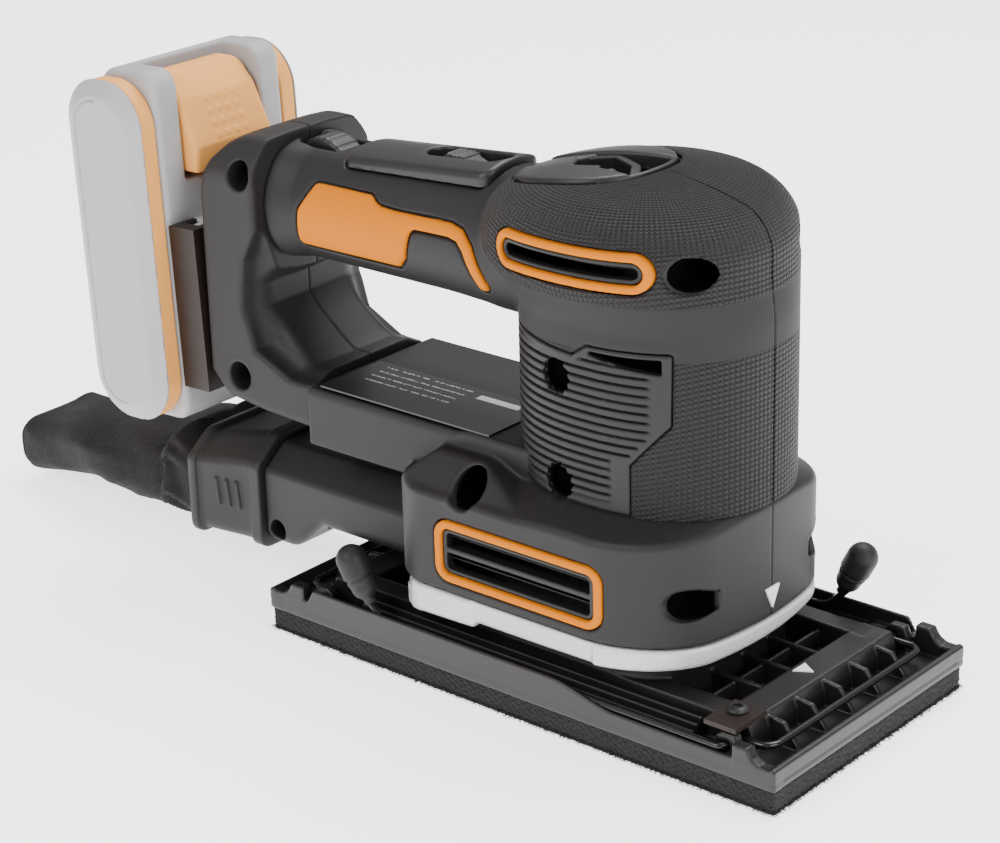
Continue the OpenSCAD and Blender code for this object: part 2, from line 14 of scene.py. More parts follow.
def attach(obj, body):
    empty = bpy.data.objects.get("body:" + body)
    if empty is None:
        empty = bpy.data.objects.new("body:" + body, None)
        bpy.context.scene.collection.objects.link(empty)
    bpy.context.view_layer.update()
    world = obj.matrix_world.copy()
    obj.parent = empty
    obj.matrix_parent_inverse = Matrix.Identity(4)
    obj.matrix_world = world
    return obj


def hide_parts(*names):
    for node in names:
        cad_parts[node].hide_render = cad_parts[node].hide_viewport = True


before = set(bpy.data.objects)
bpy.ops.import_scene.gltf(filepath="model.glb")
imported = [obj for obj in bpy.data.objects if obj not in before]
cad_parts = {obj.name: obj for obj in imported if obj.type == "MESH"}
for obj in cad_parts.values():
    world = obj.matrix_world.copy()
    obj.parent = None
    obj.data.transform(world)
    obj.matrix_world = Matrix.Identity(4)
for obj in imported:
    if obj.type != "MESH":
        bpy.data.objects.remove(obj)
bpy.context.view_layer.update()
MM = 0.001

# ---------------------------------------------------------------- sizes, in millimetres

WALL = 2.4              # thickness of the mouldings
SKIN = 1.3              # thickness of the soft sleeve
SEAM = 0.07             # half of the gap between right and left mouldings
BASE_Z0 = 31.0
BASE_HALF_W = 43.2
BASE_FRONT, BASE_REAR = 58.5, -49.0
GRIP_Z = 123.2
GRIP_R = 19.0
DECK_HALF_W = 28.0
PAD_HALF_L, PAD_HALF_W = 92.5, 46.5
LEAN = math.radians(2.5)
LEAN_AT = (-135.0, 66.0)


# ---------------------------------------------------------------- distance fields

def smin(a, b, k):
    """Union with a blend of size k."""
    h = np.maximum(k - np.abs(a - b), 0.0)
    return np.minimum(a, b) - h * h / (4.0 * k)


def smax(a, b, k):
    """Intersection with a blend of size k."""
    return -smin(-a, -b, k)


def cut(a, b, k=0.6):
    """Takes b away from a, with its edge softened by k."""
    return smax(a, -b, k)


def rmax(a, b, r):
    """Intersection whose edge is an arc of radius r."""
    return np.minimum(np.maximum(a, b), -r) + np.hypot(np.maximum(a + r, 0), np.maximum(b + r, 0))


def between(value, low, high):
    """Slab of what lies between two levels."""
    return np.maximum(value - high, low - value)


def box2(x, y, cx, cy, hx, hy, r=0.0):
    dx = np.abs(x - cx) - (hx - r)
    dy = np.abs(y - cy) - (hy - r)
    return np.hypot(np.maximum(dx, 0), np.maximum(dy, 0)) + np.minimum(np.maximum(dx, dy), 0) - r


def box3(x, y, z, lo, hi, r=0.0):
    dx = np.abs(x - (lo[0] + hi[0]) / 2) - ((hi[0] - lo[0]) / 2 - r)
    dy = np.abs(y - (lo[1] + hi[1]) / 2) - ((hi[1] - lo[1]) / 2 - r)
    dz = np.abs(z - (lo[2] + hi[2]) / 2) - ((hi[2] - lo[2]) / 2 - r)
    outside = length3(np.maximum(dx, 0), np.maximum(dy, 0), np.maximum(dz, 0))
    return outside + np.minimum(np.maximum(np.maximum(dx, dy), dz), 0) - r


def poly2(x, y, points, r=0.0):
    """Distance to a closed outline, with its corners rounded outwards by r."""
    x, y = np.broadcast_arrays(x, y)
    best = np.full(x.shape, 1e9)
    inside = np.zeros(x.shape, bool)
    for (ax, ay), (bx, by) in zip(points, points[1:] + points[:1]):
        ex, ey = bx - ax, by - ay
        t = np.clip(((x - ax) * ex + (y - ay) * ey) / (ex * ex + ey * ey), 0, 1)
        best = np.minimum(best, (x - ax - ex * t) ** 2 + (y - ay - ey * t) ** 2)
        crosses = (ay > y) != (by > y)
        if ey:
            inside ^= crosses & (x < ax + ex * (y - ay) / ey)
    return np.where(inside, -1.0, 1.0) * np.sqrt(best) - r


def path2(x, y, points, width):
    """Distance to a band of half-width width along an open path."""
    best = 1e9
    for (ax, ay), (bx, by) in zip(points, points[1:]):
        ex, ey = bx - ax, by - ay
        t = np.clip(((x - ax) * ex + (y - ay) * ey) / (ex * ex + ey * ey), 0, 1)
        best = np.minimum(best, np.hypot(x - ax - ex * t, y - ay - ey * t))
    return best - width


def length3(x, y, z):
    return np.sqrt(x * x + y * y + z * z)


def ease(t, t0, t1):
    t = np.clip((t - t0) / (t1 - t0), 0, 1)
    return t * t * (3 - 2 * t)


def leaned(x, z):
    """Coordinates in the upright pose of what leans back with the battery."""
    c, s = math.cos(LEAN), math.sin(LEAN)
    dx, dz = x - LEAN_AT[0], z - LEAN_AT[1]
    return LEAN_AT[0] + dx * c + dz * s, LEAN_AT[1] - dx * s + dz * c


def mesh_field(name, field, lo, hi, step):
    """Meshes field(x, y, z) < 0 inside a box, and pulls every point onto the surface."""
    axes = [np.arange(a, b + step, step) for a, b in zip(lo, hi)]
    x, y, z = np.meshgrid(*axes, indexing="ij", sparse=True)
    values = np.broadcast_to(field(x, y, z), [len(a) for a in axes]).astype(np.float32)
    grid = openvdb.FloatGrid(background=float(3 * step))
    grid.copyFromArray(np.ascontiguousarray(values))
    points, triangles, quads = grid.convertToPolygons(isovalue=0.0, adaptivity=0.0)
    p = points.astype(float) * step + np.array(lo)
    nudge = 0.02
    for _ in range(3):
        d = field(*p.T)
        slope = np.stack([field(*(p + nudge * e).T) - field(*(p - nudge * e).T) for e in np.eye(3)], 1)
        slope /= 2 * nudge
        move = slope * (d / np.maximum((slope ** 2).sum(1), 0.05))[:, None]
        length = np.linalg.norm(move, axis=1)
        p -= move * np.minimum(1, 0.45 * step / np.maximum(length, 1e-9))[:, None]
    faces = [tuple(f[::-1]) for f in quads.tolist()] + [tuple(f[::-1]) for f in triangles.tolist()]
    return make(name, p, faces)


def linked(name, data):
    """A new object in the scene."""
    obj = bpy.data.objects.new(name, data)
    bpy.context.scene.collection.objects.link(obj)
    return obj


def make(name, points, faces):
    """A mesh object from points in millimetres."""
    mesh = bpy.data.meshes.new(name)
    mesh.from_pydata((np.asarray(points) * MM).tolist(), [], faces)
    mesh.validate()
    mesh.shade_smooth()
    return linked(name, mesh)


def copied(obj, name, change):
    """A copy of a piece, put through a matrix."""
    mesh = obj.data.copy()
    mesh.transform(change)
    if change.determinant() < 0:
        mesh.flip_normals()
    return linked(name, mesh)


def crown_plan(x, y):
    """Outline of the crown, seen from above."""
    n = 2.3
    ratio = ((np.abs(x + 1.5) / 22.0) ** n + (np.abs(y) / 21.0) ** n + 1e-9) ** (1 / n)
    return (ratio - 1) * 20.5


# ---------------------------------------------------------------- the tool's outer form

def base_outline(x, y):
    bow = np.hypot(x - (BASE_FRONT - 105), y) - 105
    return rmax(rmax(bow, np.abs(y) - BASE_HALF_W, 21), BASE_REAR - x, 17)


def tower_size(z):
    """Centre, half length and half width of the tower's outline at a height."""
    flare = ease(z, 116, 131)
    return 19.5 - 6.0 * flare, 39.2 + 4.8 * flare, 33.6 + 4.6 * flare


def tower_wall(x, y, z):
    """Distance to the tower's side wall, carried on up and down."""
    def ratio(x, y, z):
        cx, a, b = tower_size(z)
        n = 2.3
        return (np.abs((x - cx) / a) ** n + np.abs(y / b) ** n) ** (1 / n)
    e = 0.05
    value = ratio(x, y, z)
    gx = (ratio(x + e, y, z) - value) / e
    gy = (ratio(x, y + e, z) - value) / e
    gz = (ratio(x, y, z + e) - value) / e
    return (value - 1) / np.maximum(np.sqrt(gx ** 2 + gy ** 2 + gz ** 2), 0.008)


def crown_height(x, y):
    """The tower's domed top."""
    return 153.4 - 0.0042 * (x - 16) ** 2 - 0.0034 * y ** 2 - 0.9 * ease(x, 20, 58)


def tower(x, y, z):
    top = (z - crown_height(x, y)) * 0.97
    return rmax(tower_wall(x, y, z), top, 9.0)


def handle(x, y, z):
    """The grip, deeper towards the tower, which it grows into, and flaring at the rear joint."""
    grow = ease(x, -52, -24)
    flare = 2.3 * ease(-x, 102, 112)
    stretch = 1 + 0.0028 * np.clip(x + 87, 0, 60) * (z > GRIP_Z)
    top = z - (GRIP_Z + GRIP_R + 1.2 + 0.07 * (x + 91))
    bar = np.hypot(y * (1.0 - 0.02 * grow), (z - GRIP_Z) / stretch) - GRIP_R - 0.8 * grow - flare
    return np.maximum(smax(smax(bar, top, 5), -x - 113, 1.0), x - 16)


HAND_GAP = [(-110.5, 102.2), (-114.5, 98), (-114, 91.2), (-97, 76.5), (-80, 76.5), (-46, 76.5), (-33, 76.7),
            (-28, 82), (-28, 98), (-34, 102.2)]


def deck(x, y, z):
    """The deck under the hand, flat on top."""
    side = np.abs(y) - DECK_HALF_W
    shape = rmax(np.maximum(side, 55.0 - z), z - 74.0, 1.4)
    return np.maximum(np.maximum(shape, -91.0 - x), x - 8)


def base(x, y, z):
    """Base housing with a shoulder that rises to the tower, and a faceted hump at the rear screw."""
    away = tower_wall(x, y, np.full_like(z, 64.0) if np.ndim(z) else 64.0)
    roof = 65.2 - 0.46 * np.clip(away, 0, 11)
    ay = np.abs(y)
    hump = smax(z - 68.8, (z - 68.8) * 0.71 + (ay - 32.5) * 0.71, 1.2)
    hump = smax(hump, (z - 68.2) * 0.92 + (x + 15.5) * 0.39, 1.2)
    hump = smax(hump, (z - 69.0) * 0.74 - (x + 35.0) * 0.67, 1.2)
    top = smin((z - roof) * 0.9, hump, 1.0)
    return smax(rmax(base_outline(x, y), top, 1.5), BASE_Z0 - z, 0.8)


# x, z and radius of each recess, and the y of its floor
SIDE_SCREWS = [(9.6, 101.0, 5.0, -28.0), (10.2, 70.3, 5.0, -28.0)]
CORNER_SCREWS = [(48.5, 134.9, 4.8, -14.5), (52.0, 43.3, 4.7, -21.0), (-18.0, 62.6, 5.2, -28.0)]
DEEP_RECESSES = SIDE_SCREWS + CORNER_SCREWS
REAR_SCREWS = [(-117.6, 133.2), (-121.4, 69.2)]
TOP_SLOT = [(22, 110.4), (42.0, 110.8), (42.0, 107.6), (31, 108.6)]


def fluted_recess(x, y, z, cx, cz, r):
    """A round recess through the ribbed panel, with twelve flutes."""
    radius = np.hypot(x - cx, z - cz) - 0.28 * np.cos(12 * np.arctan2(z - cz, x - cx))
    return np.maximum(radius - r, y + 12.0)


def recess_shade_cups(x, y, z):
    """Near-black cups in the deep recesses of the housing's side: painted shade where the recesses fall
    dark.
    """
    cups = 1e9
    for cx, cz, r, floor in DEEP_RECESSES:
        radius = np.hypot(x - cx, z - cz)
        ring = np.maximum(np.abs(radius - r + 0.45) - 0.3, y - floor)
        end = np.maximum(radius - r + 0.3, np.abs(y - floor + 0.4) - 0.3)
        cups = np.minimum(cups, np.minimum(ring, end))
    return smax(cups, np.minimum(tower(x, y, z), base(x, y, z)) + 1.7, 0.2)


def rear_outline(x, z):
    """Side outline of the rear shell: rounded back, sloping brace, handle root and deck end."""
    shape = poly2(x, z, [(-127, 62.8), (-112, 60.8), (-92.2, 59.6), (-92.2, 72.8), (-97.8, 72.8),
                         (-118.4, 89.6), (-118.8, 99.6), (-113.2, 104.4), (-113.2, 122.2),
                         (-133.2, 122.2), (-133.2, 69.0)], 1.8)
    crown = np.hypot(x + 117, z - 124) - 18.0
    front = box2(x, z, -114.0, 128, 3.2, 14.0)
    return np.minimum(np.minimum(shape, crown), front)


# ---------------------------------------------------------------- housing mouldings

PANEL_EDGE = [(-40, 66.5), (33.2, 66.5), (33.2, 80.6), (43.8, 93.0), (44.0, 112.0), (21, 111.4), (16, 107.9),
              (-5, 109.0), (-40, 112.0)]


def in_panel(x, y, z, grow=0.0):
    """The ribbed panel's region, seen from the side, on the right-hand half."""
    return np.maximum(poly2(x, z, PANEL_EDGE, 0.8) - grow, y + 4.0)


UPPER_VENT = (16.7, 135.5, 25.2, 5.5)
LOWER_VENT = (2.4, 43.7, 29.9, 9.5)


def vent_shape(x, z, vent, inset, r):
    cx, cz, hx, hz = vent
    return box2(x, z, cx, cz, hx - inset, hz - inset, r)


def bored(shell, shape, x, y, z, cx, cz, r, floor):
    """A lined blind bore that runs in from the side, parallel to Y, down to y = floor."""
    radius = np.hypot(x - cx, z - cz)
    lining = smax(smax(radius - r - 1.3, y - floor - 1.3, 0.4), shape, 0.3)
    well = np.maximum(radius - r, y - floor)
    return cut(smin(shell, lining, 0.4), well, 0.7)


def handle_inlay_outline(x, z):
    """Orange inlay seen from the side: wide behind, a narrow strip in front that turns down."""
    wide = poly2(x, z, [(-99.6, 114.8), (-62.4, 115.2), (-59.6, 118.0), (-57.0, 126.2), (-68.4, 128.6),
                        (-72.4, 131.4), (-93.0, 131.2), (-98.0, 124)], 1.8)
    strip = path2(x, z, [(-68, 128.3), (-40, 129.2), (-35.8, 128.4), (-32.8, 125.2), (-28.4, 115.0)], 2.0)
    return smin(wide, strip, 2.4)


def housing(x, y, z):
    """Right-hand moulding: tower core, handle, deck and base, hollow, with all its openings."""
    core = tower(x, y, z) + SKIN + 0.05
    shape = smin(handle(x, y, z), core, 5.0)
    shape = smin(shape, deck(x, y, z), 1.5)
    shape = smin(shape, base(x, y, z), 1.5)
    gap = poly2(x, z, HAND_GAP, 2.5)
    shape = cut(shape, gap, 4.0)
    shell = cut(shape, shape + WALL, 0.4)
    shell = cut(shell, np.maximum(base_outline(x, y) + WALL, z - 40), 0.4)
    # behind the rear shell's joint line
    shell = smax(shell, np.where(z > 95, -111.8, -91.0) - x, 0.8)
    # side openings
    shell = cut(shell, np.maximum(vent_shape(x, z, UPPER_VENT, 0.5, 5.0), y + 20), 0.6)
    shell = cut(shell, np.maximum(vent_shape(x, z, LOWER_VENT, -0.35, 5.4), y + 37), 0.6)
    for cx, cz, r, floor in DEEP_RECESSES:
        shell = bored(shell, shape, x, y, z, cx, cz, r, floor)
    shell = cut(shell, np.maximum(poly2(x, z, TOP_SLOT, 1.0), y + 16), 0.4)
    # inlay seat
    seat = np.maximum(handle_inlay_outline(x, z) - 0.6, y + 8)
    shell = cut(shell, np.maximum(seat, -(handle(x, y, z) + 1.0)), 0.5)
    # crown recess, cover seat, wheel slot
    shell = cut(shell, np.maximum(crown_plan(x, y) - 0.35, 144.5 - z), 0.6)
    cover = np.maximum(box2(x, y, -59.2, 0, 28.7, 12.4, 4.4), 137.6 + 0.055 * (x + 87) - z)
    shell = cut(shell, cover, 0.5)
    shell = cut(shell, box3(x, y, z, (-111, -6.4, 132.0), (-91.5, 6.4, 160), 3.0), 1.6)
    return smax(shell, y + SEAM, 0.35)


def rear_shell(x, y, z):
    """Right-hand half of the rear shell, which holds the battery rail."""
    outline = rear_outline(x, z)
    ay = np.abs(y)
    rim = poly2(x, z, [(-145, 150), (-111.9, 150), (-111.9, 117), (-117.2, 107), (-118.4, 92), (-114.5, 79),
                       (-101, 72.6), (-80, 72.6), (-80, 50), (-145, 50)])
    slab = smax(smax(outline, ay - 26.3 + 0.03 * np.maximum(x + 124, 0), 3.5), rim, 2.0)
    slab = smax(slab, np.hypot(np.maximum(ay - 14.0, 0), np.maximum(z - 129.5, 0)) - 12.6, 0.8)
    root = smax(np.hypot(y, z - GRIP_Z) - 21.4, -x - 124, 0.5)
    brace = smax(smax(outline, ay - 18.0, 4.0), 70 - z, 1.0)
    shape = smin(smin(slab, smax(root, outline, 2.0), 2.5), brace, 7.0)
    shape = np.maximum(shape, np.where(z > 95, x + 111.9, x + 91.2))
    shell = cut(shape, shape + WALL, 0.4)
    shell = cut(shell, np.maximum(box2(y, z, 0, 88, 20, 22, 3), x + 130), 0.5)
    for cx, cz in REAR_SCREWS:
        shell = bored(shell, shape, x, y, z, cx, cz, 4.4, -14.5)
    return smax(shell, y + SEAM, 0.35)


def sleeve(x, y, z):
    """Soft grip on the tower, a skin with the panel's window and the vent's slot in it."""
    outer = tower(x, y, z)
    skin = smax(outer, -(outer + SKIN), 0.3)
    skin = smax(skin, 65.0 - z, 0.8)
    skin = cut(skin, in_panel(x, y, z, 0.25), 0.9)
    skin = cut(skin, handle(x, y, z) - 0.2, 0.8)
    skin = cut(skin, np.maximum(vent_shape(x, z, UPPER_VENT, -0.5, 6.0), y + 20), 0.8)
    skin = cut(skin, np.maximum(crown_plan(x, y) - 0.5, 140 - z), 1.6)
    cx, cz, r = CORNER_SCREWS[0][:3]
    skin = cut(skin, np.maximum(np.hypot(x - cx, z - cz) - r, y + 8), 1.0)
    return smax(skin, y + SEAM, 0.35)


def ribbed_panel(x, y, z):
    """Stiff panel in the sleeve's window, with level grooves and fluted screw wells."""
    outer = tower(x, y, z)
    ribs = 1.0 * np.clip(2.2 * np.cos(2 * np.pi * (z - 68.2) / 2.5) - 1.1, 0, 1)
    ribs = ribs * (1 - ease(x, 26.5, 29.5) * (z < 81.5)) * (1 - ease(x, 37.5, 40.5)) * ease(z, 67.5, 69)
    near_edge = in_panel(x, y, z)
    ribs = ribs * ease(-near_edge, 1.2, 2.6)
    skin = np.maximum(outer + ribs + 0.05, -(outer + SKIN + 0.6))
    skin = smax(skin, near_edge, 0.8)
    skin = cut(skin, np.maximum(poly2(x, z, TOP_SLOT, 0.5), y + 10), 0.4)
    for cx, cz, r, _ in SIDE_SCREWS:
        skin = cut(skin, fluted_recess(x, y, z, cx, cz, r), 0.4)
    return smax(skin, y + 6, 0.3)


def ring_field(vent, width, r, wall, sink):
    """Moulded bezel that follows a wall."""
    def field(x, y, z):
        shape = vent_shape(x, z, vent, 0, r)
        band = smax(shape, -(shape + width), 0.8)
        depth = wall(x, y, z)
        return np.maximum(smax(smax(band, depth - 0.5, 0.9), -(depth + sink), 0.3), y + 12)
    return field


def grille_field(vent, width, r, wall, bars):
    """Dark frame with level bars, set back inside a bezel."""
    def field(x, y, z):
        cz = vent[1]
        shape = vent_shape(x, z, vent, width + 0.2, r - width)
        depth = wall(x, y, z)
        frame_ = smax(smax(shape, -(shape + 1.3), 0.3), np.maximum(depth + 0.5, -(depth + 3.4)), 0.3)
        for level, thick, back in bars:
            bar = np.maximum(np.abs(z - cz - level) - thick, shape)
            bar = np.maximum(bar, np.maximum(depth + back, -(depth + back + 4.0)))
            frame_ = smin(frame_, bar, 0.3)
        return np.maximum(frame_, y + 12)
    return field


def handle_inlay(x, y, z):
    outline = handle_inlay_outline(x, z)
    depth = handle(x, y, z)
    return np.maximum(smax(smax(outline, depth - 0.55, 1.3), -(depth + 0.9), 0.2), y + 8)


def handle_cover(x, y, z):
    """Low arched cover on the handle, with the switch's long slot."""
    rise = 0.08 * (x + 87)
    arch = np.hypot(y, z - 113.2 - rise) - 30.0
    plan = box2(x, y, -59.2, 0, 28.3, 12.0, 4.0)
    shape = smax(smax(arch, plan, 1.8), 138.0 + 0.055 * (x + 87) - z, 0.4)
    slot = box2(x, y, -47.6, 0, 14.9, 4.7, 4.6)
    return cut(shape, slot, 1.2)


def slide_knob(x, y, z):
    """Thumb piece of the power switch, a dished ridge on a plate."""
    plate = box3(x, y, z, (-57.6, -4.1, 140.6), (-43.6, 4.1, 143.6), 0.8)
    ridge = smax(np.hypot(x + 50.6, z - 139.6) - 6.8, np.abs(y) - 3.8, 1.4)
    ridge = cut(ridge, np.hypot(x + 50.6, z - 155.4) - 9.8, 0.5)
    grip = 0.2 * np.cos(2 * np.pi * x / 1.6)
    ridge = smax(ridge + grip * (z > 145), 140.6 - z, 0.3)
    return smin(plate, ridge, 1.2)


def switch_slot_shade_floor(x, y, z):
    """Floor and walls under the switch's slot: real surfaces, coloured near-black as painted shade in the
    slot.
    """
    outer = box3(x, y, z, (-65.5, -6.8, 136.6), (-29.8, 6.8, 141.0), 1.0)
    return cut(outer, box3(x, y, z, (-63.8, -5.2, 138.0), (-31.5, 5.2, 150), 1.0), 0.3)


def speed_wheel(x, y, z):
    radius = np.hypot(x + 102.5, z - 132.2)
    turn = np.arctan2(z - 132.2, x + 102.5)
    rim = radius - 10.6 + 0.3 * np.abs(np.cos(14 * turn))
    wheel = smax(rim, np.abs(y) - 5.0 + 0.05 * np.maximum(radius - 8, 0) ** 2, 1.2)
    return cut(wheel, radius - 2.0, 0.4)


def crown_lens(side):
    """Smooth cheek beside the crown's channel, pointed at both ends."""
    def field(x, y, z):
        roof = z - crown_height(x, y)
        inner = side * y
        edge = 5.2 + 0.115 * (x + 23)
        lens = smax(crown_plan(x, y) + 0.35, edge - inner, 0.6)
        return smax(smax(lens, roof - 0.7, 1.4), -(roof + 4.0), 0.2)
    return field


def crown_tab(x, y, z):
    """Flush tab that runs from the handle into the crown, and the rim round the channel."""
    roof = z - crown_height(x, y)
    edge = 4.7 + 0.115 * (x + 23)
    tab = smax(smax(crown_plan(x, y) + 0.35, np.abs(y) - edge, 0.4), x + 8.5 - 0.5 * np.abs(y - 1), 0.8)
    rim = smax(smax(crown_plan(x, y) + 0.2, -(crown_plan(x, y) + 1.7), 0.4), -(x - 12.0), 0.4)
    shape = smin(tab, rim, 0.3)
    return smax(smax(shape, roof - 0.1, 0.9), -(roof + 4.5), 0.2)


def crown_channel_shade_floor(x, y, z):
    """Floor under the channel: the channel's real bottom, coloured near-black as painted shade."""
    roof = z - crown_height(x, y)
    return np.maximum(np.maximum(crown_plan(x, y) + 0.4, roof + 7.4), -(roof + 8.8))


def crown_bridge(x, y, z):
    """Angular bridge over the channel, with a small lever beside it."""
    roof = z - crown_height(x, y)
    bridge = path2(x, y, [(-9.5, 4.6), (0.0, 7.6), (8.5, 5.0), (16.0, -6.0)], 1.5)
    bridge = smax(smax(bridge, roof + 0.5 + 0.2 * np.maximum(x, 0), 0.7), -(roof + 6.8), 0.4)
    lever = smax(path2(x, y, [(-8.5, -3.6), (0.5, -3.0)], 1.5), np.maximum(roof + 1.2, -(roof + 6.5)), 0.7)
    knob = length3(x - 4.5, y + 1.5, roof + 4.4) - 2.3
    wall = np.maximum(np.abs(np.hypot(x - 9, y) - 8.6) - 0.6, np.maximum(roof + 3.4, -(roof + 7.8)))
    return smin(smin(smin(bridge, lever, 0.6), knob, 0.5), np.maximum(wall, 8 - x), 0.4)


# ---------------------------------------------------------------- dust path

def duct(x, y, z):
    """Dust duct that leaves the housing's back, deeper where the bag's collar goes on."""
    top = z - (45.2 + 0.012 * (x + 60))
    bottom = (13.5 + 10.3 * ease(x, -109, -93)) - z
    side = np.abs(y) - 22.2
    bevel = 0.6 * (np.abs(y) - 22.2) + 0.8 * (z - 37.4)
    shape = rmax(smax(side, smax(top, bevel, 1.0), 1.0), bottom * 0.8, 3.5)
    shape = smax(shape, np.maximum(-118.0 - x, x + 47.4), 1.0)
    mouth = box3(x, y, z, (-130, -13, 18), (-70, 13, 39), 3.0)
    shape = cut(shape, mouth, 0.6)
    return cut(shape, np.maximum(np.hypot(x + 113.4, z - 18.2) - 3.3, 14 - np.abs(y)), 0.8)


def collar(x, y, z):
    """Bag collar with three short grip ribs on each side and a band at its mouth."""
    flare = 2.6 * ease(-x, 122, 146)
    roof = z - 46.2 + 0.16 * np.maximum(-x - 124, 0)
    bevel = 0.6 * (np.abs(y) - 23.6 - flare) + 0.8 * (z - 38.6 + 0.12 * np.maximum(-x - 124, 0))
    shape = smax(smax(np.abs(y) - 23.6 - flare, smax(roof, bevel, 1.5), 1.5), 11.6 - z, 5.0)
    shape = smax(shape, np.maximum(x + 118.2, -147.4 - x), 1.2)
    band = smax(np.abs(x + 120.6) - 2.4, shape - 0.9, 0.7)
    shape = smin(shape, band, 0.5)
    for cx in (-127.9, -131.8, -135.7):
        slant = x - cx + 0.1 * (z - 27)
        rib = np.maximum(np.abs(slant) - 0.65, np.abs(z - 27.0) - 4.6)
        shape = smin(shape, smax(rib, shape - 0.9, 0.5), 0.4)
    rim = smax(np.abs(x + 145.6) - 1.7, shape - 1.3, 0.9)
    shape = smin(shape, rim, 0.6)
    return cut(shape, box3(x, y, z, (-160, -19, 15), (-112, 19, 41), 5.0), 0.6)


# ---------------------------------------------------------------- lever and base plate

def lock_lever(x, y, z):
    """Silver band round the base's lower edge, set back along its blank label field."""
    outline = base_outline(x, y)
    band = smax(outline, -(outline + 3.6), 0.8)
    turn = np.clip((np.arctan2(y, x - 5) + 2.35) / 3.0, 0, 1)
    foot = 30.4 - (8.8 - 4.6 * turn)
    band = smax(band, between(z, foot, 30.4), 1.2)
    start = poly2(x, y, [(-46.5, -60), (90, -60), (90, 46), (38, 30), (5, 0), (-30, -20)])
    band = smax(band, start, 1.2)
    dish = np.maximum(np.abs(x - 7.5) - 22.5 + 1.5 * (y + 43.2), np.maximum(y + 42.0, z - 29.7))
    band = cut(band, dish, 0.6)
    band = cut(band, np.maximum(np.abs(x - 7.5) - 21.0, z - 23.2), 1.4)
    boss = smax(np.hypot(x + 38, y + 32) - 7.5, between(z, 21.6, 27.6), 1.0)
    arm = box3(x, y, z, (-42, -42.6, 21.6), (-34, -33, 27.6), 0.6)
    shape = smin(smin(band, boss, 1.0), smax(arm, outline + 0.4, 0.3), 1.0)
    return cut(shape, np.hypot(x + 38, y + 32) - 3.15, 0.2)


PLATE_Z, FLOOR_Z, FRAME_Z = 7.3, 9.3, 17.8


